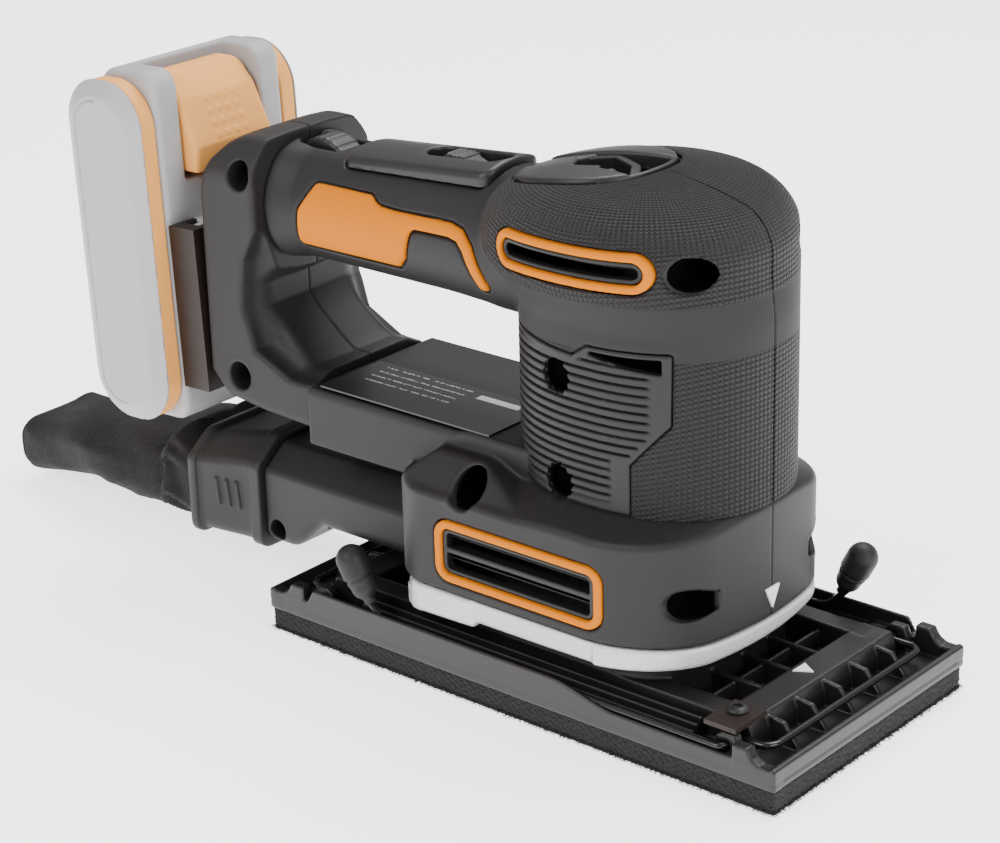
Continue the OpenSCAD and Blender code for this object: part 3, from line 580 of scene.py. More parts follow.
def base_plate(x, y, z):
    """Ribbed nylon plate, the same after half a turn."""
    ax, ay = np.abs(x), np.abs(y)
    shape = smax(box2(x, y, 0, 0, PAD_HALF_L, PAD_HALF_W, 1.2), between(z, PLATE_Z, FLOOR_Z), 0.4)
    # end lips: upright outside, sloped inside, with a shallow groove
    lip = poly2(ax, z, [(87.6, 8), (92.5, 8), (92.5, 13.4), (91.3, 13.9), (88.9, 10.4)], 0.2)
    lip = smax(lip, ay - PAD_HALF_W, 0.4)
    lip = cut(lip, np.maximum(np.abs(z - 9.6) - 0.25, 92.25 - ax), 0.4)
    shape = smin(shape, lip, 0.5)
    # side walls: a ledge under each clamp's arm, and a thin outer wall that dips towards the clamp's bar
    arm_side = np.where(y < 0, x, -x)
    ledge_top = 13.4 - 1.1 * (1 - ease(arm_side, 74, 77)) * ease(arm_side, -64, -62)
    ledge = smax(np.maximum(ay - PAD_HALF_W + 0.2, 42.7 - ay), between(z, PLATE_Z, ledge_top), 0.3)
    wall_top = 13.4 + 4.2 * (1 - ease(arm_side, 16, 40)) * ease(arm_side, -77.5, -74)
    wall = np.maximum(ay - PAD_HALF_W, PAD_HALF_W - 1.1 - ay)
    wall = smax(wall, between(z, PLATE_Z, wall_top), 0.4)
    shape = smin(shape, smax(smin(ledge, wall, 0.3), ax - PAD_HALF_L, 0.4), 0.4)
    # beams and rails
    beam = poly2(ax, z, [(66.6, 8), (77.2, 8), (77.0, 13.8), (75.6, 17.4), (66.6, 17.4)], 0.35)
    shape = smin(shape, smax(beam, ay - 35.2, 0.8), 0.4)
    rail = np.maximum(np.abs(ay - 30.7) - 3.6, between(z, PLATE_Z, FRAME_Z))
    shape = smin(shape, smax(rail, ax - 72, 0.8), 0.4)
    # low fins between the rail and the clamp's arm
    for cy, top in ((36.4, 15.6), (38.4, 14.4), (40.4, 13.2)):
        fin = np.maximum(np.abs(ay - cy) - 0.45, between(z, PLATE_Z, top))
        shape = smin(shape, smax(fin, ax - 62, 0.6), 0.3)
    # ribs of the grid
    for cy in (0.0, 13.1):
        rib = np.maximum(np.abs(ay - cy) - 0.65, between(z, PLATE_Z, 16.6))
        shape = smin(shape, smax(rib, ax - 70, 0.3), 0.3)
    for cx in (0.0, 14.0, 28.0, 42.0, 55.6):
        rib = np.maximum(np.abs(ax - cx) - 0.6, between(z, PLATE_Z, 15.2))
        shape = smin(shape, smax(rib, ay - 30, 0.3), 0.3)
    # small webs at the feet of the ribs
    web = np.maximum(np.abs(ay - 6.5) - 0.45, (z - 13.2) + 0.9 * np.abs(ax - 57.0))
    shape = smin(shape, np.maximum(web, PLATE_Z - z), 0.3)
    # gussets in front of the beam
    profile = poly2(ax, z, [(75, 8), (86.8, 8), (86.6, 9.6), (81.6, 16.2), (75, 17.0)], 0.2)
    for cy in (0.0, 13.1, 26.2):
        shape = smin(shape, np.maximum(np.abs(ay - cy) - 0.85, profile), 0.5)
    # bearing posts, and rounded blocks at the corners of the tray
    post = poly2(ax, z, [(70.8, 8), (77.8, 8), (77.8, 14.0), (76.6, 17.0), (72.4, 17.0), (70.8, 15.5)], 0.3)
    shape = smin(shape, smax(post, np.abs(ay - 41.0) - 1.5, 0.5), 0.4)
    block = poly2(ax, z, [(79.1, 9), (91, 9), (91, 11.0), (87.0, 11.2), (86.6, 13.4), (84.6, 14.6),
                          (83.2, 17.0), (79.1, 17.0)], 0.4)
    shape = smin(shape, smax(block, np.abs(ay - 44.6) - 1.9, 0.6), 0.4)
    shape = cut(shape, np.maximum(np.hypot(ax - 74, z - 13.9) - 1.2, np.maximum(38.5 - ay, ay - 45)), 0.2)
    # seat under the carrier, with room for the lever's boss
    seat = smin(smax(base_outline(x, y) + 9.5, between(z, PLATE_Z, 24.6), 0.6),
                smax(box2(x, y, 0, 0, 29.2, 16.2, 6), z - 26.6, 0.6), 0.6)
    shape = smin(shape, seat, 0.8)
    return cut(shape, box3(x, y, z, (-60, -44.5, 19.5), (-26, -20, 40), 0.5), 0.4)


# ---------------------------------------------------------------- pad, clamps and small hardware

def foam(x, y, z):
    """Cut foam slab with an uneven edge."""
    rough = 0.22 * np.sin(x * 1.9 + 2 * np.sin(y * 0.8)) * np.sin(y * 2.3 + z * 3.1)
    rough = rough + 0.16 * np.sin(x * 5.1 + z * 4.0) * np.sin(y * 4.7 - z * 2.0)
    edge = box2(x, y, 0, 0, PAD_HALF_L - 0.3, PAD_HALF_W - 0.3, 1.0) + rough
    return smax(edge, np.abs(z - 4.3) - 2.98, 0.5)


def hook_layer(x, y, z):
    edge = box2(x, y, 0, 0, PAD_HALF_L - 0.1, PAD_HALF_W - 0.1, 1.2)
    edge = edge + 0.12 * np.sin(x * 3.7) * np.sin(y * 4.1)
    return smax(edge, np.abs(z - 0.85) - 0.42, 0.3)


def hook_pile():
    """Little hooks round the pad's edge, as one mesh of thin bent stems."""
    rng = np.random.default_rng(7)
    points, faces = [], []

    def stem(foot, lean, height, curl):
        n = 5
        side = np.cross(lean, (0, 0, 1.0))
        side /= np.linalg.norm(side)
        for k in range(n):
            t = k / (n - 1)
            centre = foot + lean * (height * t * (1 + curl * t))
            centre = centre + np.array((0, 0, -0.55 * t + 0.9 * curl * t ** 3))
            radius = 0.11 * (1 - 0.45 * t)
            for a in range(3):
                turn = 2 * math.pi * a / 3
                across = math.cos(turn) * side + math.sin(turn) * np.array((0, 0, 1.0))
                points.append(centre + radius * across)
        start = len(points) - 3 * n
        for k in range(n - 1):
            for a in range(3):
                b = (a + 1) % 3
                row = start + 3 * k
                faces.append((row + a, row + b, row + 3 + b, row + 3 + a))
        faces.append((start + 2, start + 1, start))
        faces.append((start + 3 * n - 3, start + 3 * n - 2, start + 3 * n - 1))

    corners = [(sx * PAD_HALF_L, sy * PAD_HALF_W) for sx, sy in ((-1, -1), (1, -1), (1, 1), (-1, 1))]
    edges = list(zip(corners, corners[1:] + corners[:1]))
    for (ax, ay), (bx, by) in edges:
        length = math.hypot(bx - ax, by - ay)
        out = np.array(((by - ay) / length, -(bx - ax) / length, 0.0))
        for _ in range(int(length * 6)):
            t = rng.random()
            foot = np.array((ax + (bx - ax) * t, ay + (by - ay) * t, 0.75 + 0.5 * rng.random())) - out * 0.35
            lean = out + rng.normal(0, 0.45, 3) * (1, 1, 0.3)
            stem(foot, lean / np.linalg.norm(lean), 0.5 + 0.7 * rng.random(), rng.uniform(-0.3, 0.6))
    return make("hook_pile", points, faces)


def clamp_tip(x, y, z):
    """Rubber tip on a clamp's arm: a fat rounded knob with a seam and a short collar."""
    p0, p1 = np.array((-54.6, -44.9, 24.2)), np.array((-58.6, -45.4, 32.0))
    d = p1 - p0
    length = np.linalg.norm(d)
    t = ((x - p0[0]) * d[0] + (y - p0[1]) * d[1] + (z - p0[2]) * d[2]) / (d @ d)
    tc = np.clip(t, 0, 1)
    radius = length3(x - p0[0] - d[0] * tc, y - p0[1] - d[1] * tc, z - p0[2] - d[2] * tc)
    body = radius - (3.8 + 0.85 * ease(t, 0.0, 0.5))
    seam = np.hypot((t - 0.35) * length, radius - 4.5) - 0.5
    side = length3(x - p0[0] - d[0] * t, y - p0[1] - d[1] * t, z - p0[2] - d[2] * t)
    collar_ = np.maximum(side - 1.7, np.abs(t * length + 3.8) - 1.4)
    return smin(cut(body, seam, 0.4), collar_, 1.0)


def star_head(name, at, axis, r, tall):
    """Pan-head screw with a six-lobed socket."""
    axis = Vector(axis).normalized()
    frame_ = np.array(axis.to_track_quat("Z", "Y").to_matrix())

    def field(x, y, z):
        q = np.stack(np.broadcast_arrays(x - at[0], y - at[1], z - at[2]), -1) @ frame_
        radius, height = np.hypot(q[..., 0], q[..., 1]), q[..., 2]
        turn = np.arctan2(q[..., 1], q[..., 0])
        dome = np.hypot(radius, height + 1.6 * r - tall) - 1.6 * r
        dome = smax(dome, np.maximum(radius - r, -height), 0.35)
        socket = np.maximum(radius - 0.44 * r * (1 + 0.16 * np.cos(6 * turn)), tall * 0.35 - height)
        shank = np.maximum(radius - 0.45 * r, np.maximum(-height - 3.0, height - 0.1))
        return smin(cut(dome, socket, 0.12), shank, 0.2)
    reach = r + 3.6
    lo = [c - reach for c in at]
    hi = [c + reach for c in at]
    return mesh_field(name, field, lo, hi, r / 11)


# ---------------------------------------------------------------- battery

PACK_X0, PACK_X1, PACK_Z0, PACK_Z1 = -180.5, -146.6, 48.5, 158.5
PACK_R = 15.0


def battery_outline(x, z, x0, top, r, inset=0.0):
    u, w = leaned(x, z)
    half_l, half_h = (PACK_X1 - x0) / 2, (top - PACK_Z0) / 2
    return box2(u, w, x0 + half_l, PACK_Z0 + half_h, half_l - inset, half_h - inset, r - inset)


def battery_cheek(x, y, z):
    """Right-hand cheek: a plate with a broad bevel and a fine joint line round its flank."""
    outline = battery_outline(x, z, PACK_X0, PACK_Z1, PACK_R)
    bevel = 0.52 * (outline + 5.4) + 0.854 * (-y - 36.0)
    shape = smax(smax(outline, -y - 36.0, 1.0), bevel, 0.8)
    shape = smax(shape, y + 32.6, 0.4)
    line = np.maximum(np.abs(outline + 6.4) - 0.3, -(shape + 0.5))
    u = leaned(x, z)[0]
    return cut(shape, np.maximum(line, u + 164.0), 0.2)


def battery_band(x, y, z):
    outline = battery_outline(x, z, PACK_X0, PACK_Z1, PACK_R, 0.7)
    return smax(outline, np.abs(y + 29.75) - 2.85, 0.8)


def battery_core(x, y, z):
    """Middle of the pack, with the button's bay and the tongue for the rail."""
    u, w = leaned(x, z)
    outline = battery_outline(x, z, -171.0, 160.0, 6.0)
    shape = rmax(outline, np.abs(y) - 26.7, 2.2)
    bay = box3(u, y, w, (-163.6, -17.2, 125), (-130, 17.2, 190), 1.5)
    shape = cut(shape, bay, 1.2)
    tongue = smin(box3(u, y, w, (-150, -16.5, 70.5), (-138.3, 16.5, 112), 0.6),
                  box3(u, y, w, (-143.5, -21.5, 70.5), (-138.3, 21.5, 112), 0.6), 0.3)
    shape = smin(shape, tongue, 0.4)
    return cut(shape, shape + 3.0, 0.2)


def battery_button(x, y, z):
    """Orange release panel with a field of small raised marks."""
    u, w = leaned(x, z)
    shape = poly2(u, w, [(-158.5, 128.5), (-144.0, 128.5), (-143.0, 135), (-149.0, 148.8), (-155.2, 156.0),
                         (-158.5, 157.6)], 1.5)
    shape = smax(shape, np.abs(y) - 16.4, 2.2)
    shape = smax(shape, np.hypot(np.maximum(np.abs(y) - 11, 0), np.maximum(w - 151, 0)) - 6.5, 1.0)
    marks = 0.0
    for row in range(4):
        for col in range(4):
            cy, cw = col * 3.8 - 5.7, 137.5 + row * 3.6
            marks = np.maximum(marks, 0.45 - 0.4 * np.maximum(np.abs(y - cy) * 0.7, np.abs(w - cw)))
    return shape - np.clip(marks, 0, 0.25) * (u > -154)


# ---------------------------------------------------------------- dust bag

def dust_bag():
    """Limp cloth bag, lofted from the collar, sagging and creased."""
    rings, around = 90, 132
    rng = np.random.default_rng(11)
    waves = [(rng.uniform(0.6, 2.6), rng.integers(1, 6), rng.uniform(0, 6.28), rng.uniform(0.5, 1.0))
             for _ in range(14)]
    points, faces = [], []
    for i in range(rings):
        t = i / (rings - 1)
        x = -146.2 - 99.0 * t
        open_ = 1 - 0.35 * ease(t, 0.0, 0.35)
        close = ease(t, 0.97, 1.0)
        half_w = 26.5 - 9.5 * ease(t, 0.20, 1.0) - 0.8 * close
        top = 40.0 - 6.0 * ease(t, 0.05, 0.6) + 1.0 * math.sin(5.0 * t) - 5.0 * ease(t, 0.6, 1.0)
        bottom = 12.0 + 1.5 * math.sin(math.pi * t) - 4.0 * ease(t, 0.6, 1.0)
        mid, half_h = (top + bottom) / 2, (top - bottom) / 2 * (1 - 0.12 * close)
        for k in range(around):
            a = 2 * math.pi * k / around
            c, s = math.cos(a), math.sin(a)
            n = 2 + 2.0 * open_
            y = half_w * math.copysign(abs(c) ** (2 / n), c)
            z = mid + half_h * math.copysign(abs(s) ** (2 / n), s)
            fold = sum(amp * math.sin(m * a + f * 9 * t + ph) for f, m, ph, amp in waves) * 0.34
            fold += 0.7 * math.sin(13 * a + 4 * math.sin(7 * t)) * math.exp(-((t - 0.04) / 0.16) ** 2)
            fade = ease(t, 0.0, 0.12)
            y += fold * fade * c * 1.1
            z += fold * fade * s * 1.1
            points.append((x + 1.2 * fold * fade * close, y, z))
    for i in range(rings - 1):
        for k in range(around):
            n = (k + 1) % around
            faces.append((i * around + k, (i + 1) * around + k, (i + 1) * around + n, i * around + n))
    last = (rings - 1) * around
    faces.append(tuple(last + k for k in range(around)))
    bag = make("dust_bag_cloth", points, faces)
    drape(bag)
    solid = bag.modifiers.new("cloth", "SOLIDIFY")
    solid.thickness = 0.7 * MM
    solid.offset = -1
    return bag


def drape(bag):
    """Lets the bag's cloth slump for a few frames, held at the collar."""
    group = bag.vertex_groups.new(name="held")
    for v in bag.data.vertices:
        x = v.co.x / MM
        group.add([v.index], float(np.clip(1 - (-x - 152) / 14, 0.0, 1.0)), "REPLACE")
    before = np.empty(len(bag.data.vertices) * 3)
    bag.data.vertices.foreach_get("co", before)
    cloth = bag.modifiers.new("cloth", "CLOTH")
    for key, value in {"vertex_group_mass": "held", "quality": 6, "mass": 0.12, "tension_stiffness": 18,
                       "compression_stiffness": 6, "shear_stiffness": 6, "bending_stiffness": 1.6,
                       "use_pressure": True, "uniform_pressure_force": 1.2, "shrink_min": -0.05}.items():
        setattr(cloth.settings, key, value)
    cloth.settings.effector_weights.gravity = 0.35
    frames = 16
    cloth.point_cache.frame_start, cloth.point_cache.frame_end = 1, frames
    scene = bpy.context.scene
    scene.render.fps = 60
    for f in range(1, frames + 1):
        scene.frame_set(f)
    depsgraph = bpy.context.evaluated_depsgraph_get()
    moved = np.empty_like(before)
    bag.evaluated_get(depsgraph).to_mesh().vertices.foreach_get("co", moved)
    shift = (moved - before).reshape(-1, 3)
    length = np.linalg.norm(shift, axis=1, keepdims=True)
    shift *= np.minimum(1, 5 * MM / np.maximum(length, 1e-9))
    bag.modifiers.remove(cloth)
    after = before.reshape(-1, 3) + shift
    after[:, 2] = np.maximum(after[:, 2], 2 * MM)
    bag.data.vertices.foreach_set("co", after.ravel())
    bag.data.update()
    scene.frame_set(1)


# ---------------------------------------------------------------- materials

class Finish:
    """A procedural material: mottled colour, uneven roughness and a fine bump."""

    def __init__(self, name, colour, rough, mottle=0.08, patch=60.0, grain=0.3, grain_mm=0.35, uneven=0.06,
                 **sockets):
        self.material = bpy.data.materials.new(name)
        self.material.use_nodes = True
        self.tree = self.material.node_tree
        self.shader = self.tree.nodes["Principled BSDF"]
        for socket, value in sockets.items():
            self.shader.inputs[socket.replace("_", " ")].default_value = value
        self.coords = self.node("ShaderNodeTexCoord").outputs["Object"]
        self.height = None
        cloud = self.noise(1000 / patch, 3)
        darker = [c * (1 - mottle) for c in colour]
        lighter = [min(1, c * (1 + mottle)) for c in colour]
        self.colour = self.mix(cloud, darker, lighter)
        fine = self.noise(1000 / grain_mm, 2)
        self.rough = self.math("ADD", self.math("MULTIPLY", cloud, 2 * uneven), rough - uneven)
        self.rough = self.math("ADD", self.rough, self.math("MULTIPLY", fine, 0.06))
        if grain:
            self.raise_by(fine, grain * 0.05)

    def node(self, kind, **settings):
        made = self.tree.nodes.new(kind)
        for key, value in settings.items():
            setattr(made, key, value)
        return made

    def feed(self, socket, value):
        if isinstance(value, bpy.types.NodeSocket):
            self.tree.links.new(value, socket)
        else:
            socket.default_value = value

    def math(self, operation, a, b=0.0):
        made = self.node("ShaderNodeMath", operation=operation)
        for socket, value in zip(made.inputs, (a, b)):
            self.feed(socket, value)
        return made.outputs[0]

    def product(self, first, *others):
        for other in others:
            first = self.math("MULTIPLY", first, other)
        return first

    def within(self, value, low, high):
        """1 between low and high, else 0."""
        return self.product(self.math("GREATER_THAN", value, low), self.math("LESS_THAN", value, high))

    def noise(self, scale, detail):
        made = self.node("ShaderNodeTexNoise")
        self.feed(made.inputs["Vector"], self.coords)
        made.inputs["Scale"].default_value = scale
        made.inputs["Detail"].default_value = detail
        return made.outputs["Fac"]

    def cells(self, scale, output="Distance"):
        made = self.node("ShaderNodeTexVoronoi")
        self.feed(made.inputs["Vector"], self.coords)
        made.inputs["Scale"].default_value = scale
        return made.outputs[output]

    def xyz(self):
        split = self.node("ShaderNodeSeparateXYZ")
        self.feed(split.inputs[0], self.coords)
        return split.outputs

    def mix(self, factor, a, b):
        made = self.node("ShaderNodeMix", data_type="RGBA")
        self.feed(made.inputs["Factor"], factor)
        for socket, value in ((made.inputs[6], a), (made.inputs[7], b)):
            self.feed(socket, value if isinstance(value, bpy.types.NodeSocket) else (*value[:3], 1.0))
        return made.outputs[2]

    def ramp(self, value, low, high):
        made = self.node("ShaderNodeMapRange", interpolation_type="SMOOTHSTEP")
        self.feed(made.inputs["Value"], value)
        made.inputs["From Min"].default_value = low
        made.inputs["From Max"].default_value = high
        return made.outputs["Result"]

    def raise_by(self, value, millimetres):
        """Adds value times a height to the bump."""
        step = self.math("MULTIPLY", value, millimetres)
        self.height = step if self.height is None else self.math("ADD", self.height, step)

    def done(self):
        self.feed(self.shader.inputs["Base Color"], self.colour)
        self.feed(self.shader.inputs["Roughness"], self.rough)
        if self.height is not None:
            bump = self.node("ShaderNodeBump")
            bump.inputs["Distance"].default_value = MM
            self.feed(bump.inputs["Height"], self.height)
            self.feed(self.shader.inputs["Normal"], bump.outputs["Normal"])
        return self.material


def plastic(name, colour, rough=0.5, grain=0.55, grain_mm=0.35, **more):
    more.setdefault("Specular_IOR_Level", 0.35)
    return Finish(name, colour, rough, grain=grain, grain_mm=grain_mm, **more).done()


def speckled_plastic(name, colour):
    """Spark-eroded moulding: fine pits and a faint two-tone speckle."""
    f = Finish(name, colour, 0.50, mottle=0.07, grain=0.8, grain_mm=0.30, Specular_IOR_Level=0.3)
    speck = f.ramp(f.noise(2600, 1), 0.58, 0.70)
    f.colour = f.mix(f.math("MULTIPLY", speck, 0.35), f.colour, [min(1, c * 2.1) for c in colour])
    return f.done()


def dimpled_rubber(name, colour):
    """Soft grip with a close grid of raised dots, plain round the neck."""
    f = Finish(name, colour, 0.60, mottle=0.08, grain=0.3, Specular_IOR_Level=0.3)
    x, y, z = f.xyz()
    dx = f.math("SUBTRACT", x, 0.016)
    turn = f.math("ARCTAN2", y, dx)
    radius = f.math("SQRT", f.math("ADD", f.math("MULTIPLY", dx, dx), f.math("MULTIPLY", y, y)))
    pitch, dots_round = 1.5 * MM, 160
    across = f.math("MULTIPLY", turn, dots_round / 2)
    along = f.math("MULTIPLY", f.math("SUBTRACT", z, radius), math.pi / pitch)
    dots = f.product(*(f.math("ABSOLUTE", f.math("SINE", turns)) for turns in (across, along)))
    lower = f.math("SUBTRACT", 1.0, f.ramp(z, 0.1100, 0.1108))
    upper = f.ramp(z, 0.1255, 0.1263)
    mask = f.math("ADD", lower, upper)
    dots = f.product(dots, mask)
    f.raise_by(dots, 0.8)
    # raised dots painted lighter than the rubber: a painted highlight on their tops
    f.colour = f.mix(f.product(dots, 0.6), f.colour, [c * 2.2 for c in colour])
    return f.done()


def sparkle_paint(name, colour):
    f = Finish(name, colour, 0.36, mottle=0.03, grain=0.15, Metallic=0.55, Coat_Weight=0.2)
    flake = f.cells(3200, "Color")
    split = f.node("ShaderNodeSeparateColor")
    f.feed(split.inputs[0], flake)
    f.colour = f.mix(f.math("MULTIPLY", split.outputs[0], 0.5), f.colour, [c * 0.62 for c in colour])
    f.rough = f.math("ADD", f.rough, f.math("MULTIPLY", split.outputs[1], 0.22))
    return f.done()


def cell_foam(name, colour):
    f = Finish(name, colour, 0.85, mottle=0.3, patch=4, grain=0.5)
    f.raise_by(f.cells(1500), 0.55)
    f.raise_by(f.noise(900, 4), 0.5)
    return f.done()


def woven_cloth(name, colour):
    """Plain weave in three directions, so it shows on every side of a limp bag."""
    f = Finish(name, colour, 0.82, mottle=0.25, patch=35, grain=0.6, Sheen_Weight=0.05,
               Sheen_Roughness=0.5, Specular_IOR_Level=0.2)
    x, y, z = f.xyz()
    k = math.pi / (0.55 * MM)
    warp = f.math("SINE", f.math("MULTIPLY", x, k))
    weft = f.math("SINE", f.math("MULTIPLY", f.math("ADD", y, z), k))
    f.raise_by(f.math("MULTIPLY", warp, weft), 0.12)
    f.raise_by(f.noise(160, 3), 0.8)
    return f.done()


def brushed(name, colour, rough, metallic=1.0):
    f = Finish(name, colour, rough, mottle=0.06, grain=0.2, Metallic=metallic)
    f.raise_by(f.noise(700, 2), 0.01)
    return f.done()


def blank_label(name):
    """Black film with plain pale bars where print would be."""
    f = Finish(name, (0.012, 0.012, 0.013), 0.28, mottle=0.1, grain=0.05)
    x, y = f.xyz()[:2]
    row = f.math("FRACT", f.math("MULTIPLY", y, 1 / 0.0036))
    lines = f.product(f.math("GREATER_THAN", row, 0.80), f.math("GREATER_THAN", y, -0.0155))
    broken = f.math("GREATER_THAN", f.noise(900, 0), 0.45)
    lines = f.product(lines, f.within(x, -0.080, -0.046), broken, 0.5)
    bar = f.product(f.within(y, -0.0075, -0.0045), f.within(x, -0.042, -0.026), 0.8)
    block = f.product(f.within(y, 0.0005, 0.0055), f.within(x, -0.041, -0.036), 0.56)
    ink = f.math("MAXIMUM", lines, f.math("MAXIMUM", bar, block))
    f.colour = f.mix(ink, f.colour, (0.75, 0.75, 0.75))
    return f.done()


CHARCOAL = (0.0125, 0.0112, 0.0115)
M = {
    "housing": speckled_plastic("housing_plastic", CHARCOAL),
    "smooth": plastic("handle_plastic", (0.013, 0.0115, 0.0118), 0.40, grain=0.3, Specular_IOR_Level=0.45),
    "grip": dimpled_rubber("grip_rubber", CHARCOAL),
    "panel": plastic("panel_plastic", (0.010, 0.009, 0.0093), 0.46, grain=0.5),
    "orange": plastic("orange_plastic", (0.60, 0.165, 0.0), 0.5, grain=0.3, mottle=0.02,
                      Specular_IOR_Level=0.08),
    "dark": plastic("dark_plastic", (0.010, 0.010, 0.010), 0.42, grain=0.3),
    # near-black and without gloss: painted shade for the recesses, the crown's channel and the switch's slot
    "painted_shade": plastic("painted_shade_black", (0.002, 0.002, 0.002), 0.8, grain=0.2, Specular_IOR_Level=0.0),
    "duct": plastic("duct_plastic", (0.014, 0.0125, 0.013), 0.48, grain=0.5),
    "nylon": plastic("plate_nylon", (0.013, 0.0112, 0.0108), 0.34, grain=0.5, grain_mm=0.8, mottle=0.2,
                     patch=18, Specular_IOR_Level=0.4),
    "foam": cell_foam("pad_foam", (0.006, 0.0055, 0.0055)),
    "pile": cell_foam("hook_pile", (0.012, 0.011, 0.011)),
    "lever": sparkle_paint("lever_paint", (0.62, 0.62, 0.63)),
    "wire": plastic("wire_enamel", (0.006, 0.006, 0.007), 0.22, grain=0.1, mottle=0.1, Coat_Weight=0.3),
    "rubber": plastic("soft_rubber", (0.011, 0.010, 0.011), 0.50, grain=0.4),
    "cloth": woven_cloth("bag_cloth", (0.0068, 0.0050, 0.0072)),
    "label": blank_label("blank_label"),
    "white": plastic("white_print", (0.88, 0.88, 0.88), 0.5, grain=0.1, mottle=0.02),
    "screw": brushed("screw_black", (0.014, 0.012, 0.012), 0.42, 0.15),
    "steel": brushed("grey_steel", (0.20, 0.19, 0.19), 0.38, 0.9),
    "bright": brushed("bright_steel", (0.66, 0.66, 0.67), 0.22),
    "alloy": brushed("cast_alloy", (0.50, 0.50, 0.52), 0.45),
    "brass": brushed("brush_brass", (0.72, 0.50, 0.20), 0.30),
    "core": plastic("armature_core", (0.20, 0.08, 0.04), 0.45, grain=0.8),
    "ferrite": plastic("ferrite", (0.05, 0.05, 0.055), 0.7, grain=0.9),
    "board": plastic("circuit_board", (0.02, 0.16, 0.06), 0.35, grain=0.2),
    "rail": plastic("rail_plastic", (0.012, 0.0068, 0.006), 0.42, grain=0.4, mottle=0.15),
    "bracket": brushed("bracket_metal", (0.022, 0.013, 0.011), 0.42, 0.3),
    "pale": plastic("battery_grey", (0.38, 0.375, 0.38), 0.46, grain=0.4, mottle=0.02),
    "pale_orange": plastic("battery_orange", (0.90, 0.40, 0.10), 0.46, grain=0.3, mottle=0.02,
                           Specular_IOR_Level=0.2),
    "wrap": plastic("cell_wrap", (0.08, 0.30, 0.18), 0.3, grain=0.1),
}


# ---------------------------------------------------------------- putting it together

def add(obj, material, body, slot, *nodes):
    obj.data.materials.clear()
    obj.data.materials.append(M[material])
    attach(obj, body)
    if nodes:
        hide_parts(*nodes)
    return obj


def piece(name, field, lo, hi, step, *rest):
    """Meshes a field and adds it, with add's other arguments."""
    return add(mesh_field(name, field, lo, hi, step), *rest)


def pair(name, field, lo, hi, step, material, slot, node=None, body="housing", both=None):
    """A right-hand piece and its mirrored twin. They replace right_node and left_node, or the node both."""
    right = mesh_field("right_" + name, field, lo, hi, step)
    left = copied(right, "left_" + name, MIRROR)
    for side, obj in (("right", right), ("left", left)):
        nodes = [f"{side}_{node}"] if node else [both] if both and side == "right" else []
        add(obj, material, body, slot, *nodes)


MIRROR = Matrix.Scale(-1, 4, (0, 1, 0))
HALF_TURN = Matrix.Rotation(math.pi, 4, "Z")
FINE = 0.6


def build_housing():
    moulded = "housing_plastic"
    pair("shell", housing, (-114, -45, 29.5), (61, 0.8, 156), FINE, "housing", moulded, "housing")
    pair("rear_cover", rear_shell, (-137, -30, 56), (-88, 0.8, 145), FINE, "housing", moulded, "rear_shell")
    pair("sleeve", sleeve, (-33, -41, 63), (61, 0.8, 156), 0.6, "grip", "grip_rubber", "grip_sleeve")
    pair("panel", ribbed_panel, (-24, -36, 64), (47, -4, 115), 0.4, "panel", moulded, "rib_panel")
    # painted shade: near-black cups inside the deep recesses
    pair("recess_shade_lining", recess_shade_cups, (-25, -43, 36), (59, -13, 141), 0.45, "painted_shade", moulded)
    pair("inlay", handle_inlay, (-103, -22, 111), (-24, -7, 136), 0.5, "orange", "orange_plastic",
         "handle_inlay")
    for name, vent, width, r, wall, sink, lo, hi, bars in (
            ("upper", UPPER_VENT, 2.3, 5.5, tower, 2.6, (-10, -41, 127), (49, -14, 144), [(0.0, 0.5, 5.0)]),
            ("lower", LOWER_VENT, 2.5, 5.2, base, 2.2, (-30, -45, 32), (37, -36, 55),
             [(0.0, 0.85, 0.9), (3.4, 0.3, 3.4), (-3.4, 0.3, 3.4)])):
        pair(name + "_bezel", ring_field(vent, width, r, wall, sink), lo, hi, 0.5,
             "orange", "orange_plastic", name + "_vent")
        pair(name + "_grille", grille_field(vent, width, r, wall, bars), lo, hi, 0.5, "dark", moulded)
    piece("handle_cover", handle_cover, (-89, -14, 137), (-29, 14, 150), 0.4,
          "smooth", "housing", moulded, "handle_top_cover")


def build_crown():
    lo, hi = (-25, -23, 145), (22, 23, 156)
    plastic_slot = ("housing", "crown_plastic")
    piece("right_crown_lens", crown_lens(-1), lo, hi, 0.4, "smooth", *plastic_slot, "tower_crown")
    piece("left_crown_lens", crown_lens(1), lo, hi, 0.4, "smooth", *plastic_slot)
    piece("crown_tab", crown_tab, lo, hi, 0.4, "smooth", *plastic_slot)
    # the channel's floor, in near-black painted shade
    piece("crown_channel_shade_floor", crown_channel_shade_floor, (-25, -23, 140), (22, 23, 150), 0.5, "painted_shade", *plastic_slot)
    piece("crown_bridge", crown_bridge, (-13, -12, 142), (20, 12, 155), 0.3, "dark", *plastic_slot)


def build_controls():
    piece("switch_knob", slide_knob, (-59, -5, 139.5), (-42, 5, 149), 0.3,
          "smooth", "switch", "control_plastic", "power_switch")
    # the switch slot's floor and walls, in near-black painted shade
    piece("switch_slot_shade_floor", switch_slot_shade_floor, (-66, -7.5, 136), (-29, 7.5, 142), 0.5,
          "painted_shade", "housing", "housing_plastic")
    piece("speed_wheel", speed_wheel, (-114.5, -6, 120.5), (-91, 6, 144), 0.45,
          "smooth", "dial", "control_plastic", "speed_dial")


def build_dust_path():
    piece("dust_duct_moulding", duct, (-120, -26, 11), (-46, 26, 48), 0.6,
          "duct", "housing", "housing_plastic", "dust_duct")
    piece("bag_collar_moulding", collar, (-149, -30, 9), (-111, 30, 49), 0.5,
          "duct", "dust_catcher", "collar_plastic", "bag_collar")
    bag = add(dust_bag(), "cloth", "dust_catcher", "bag_cloth", "dust_bag")


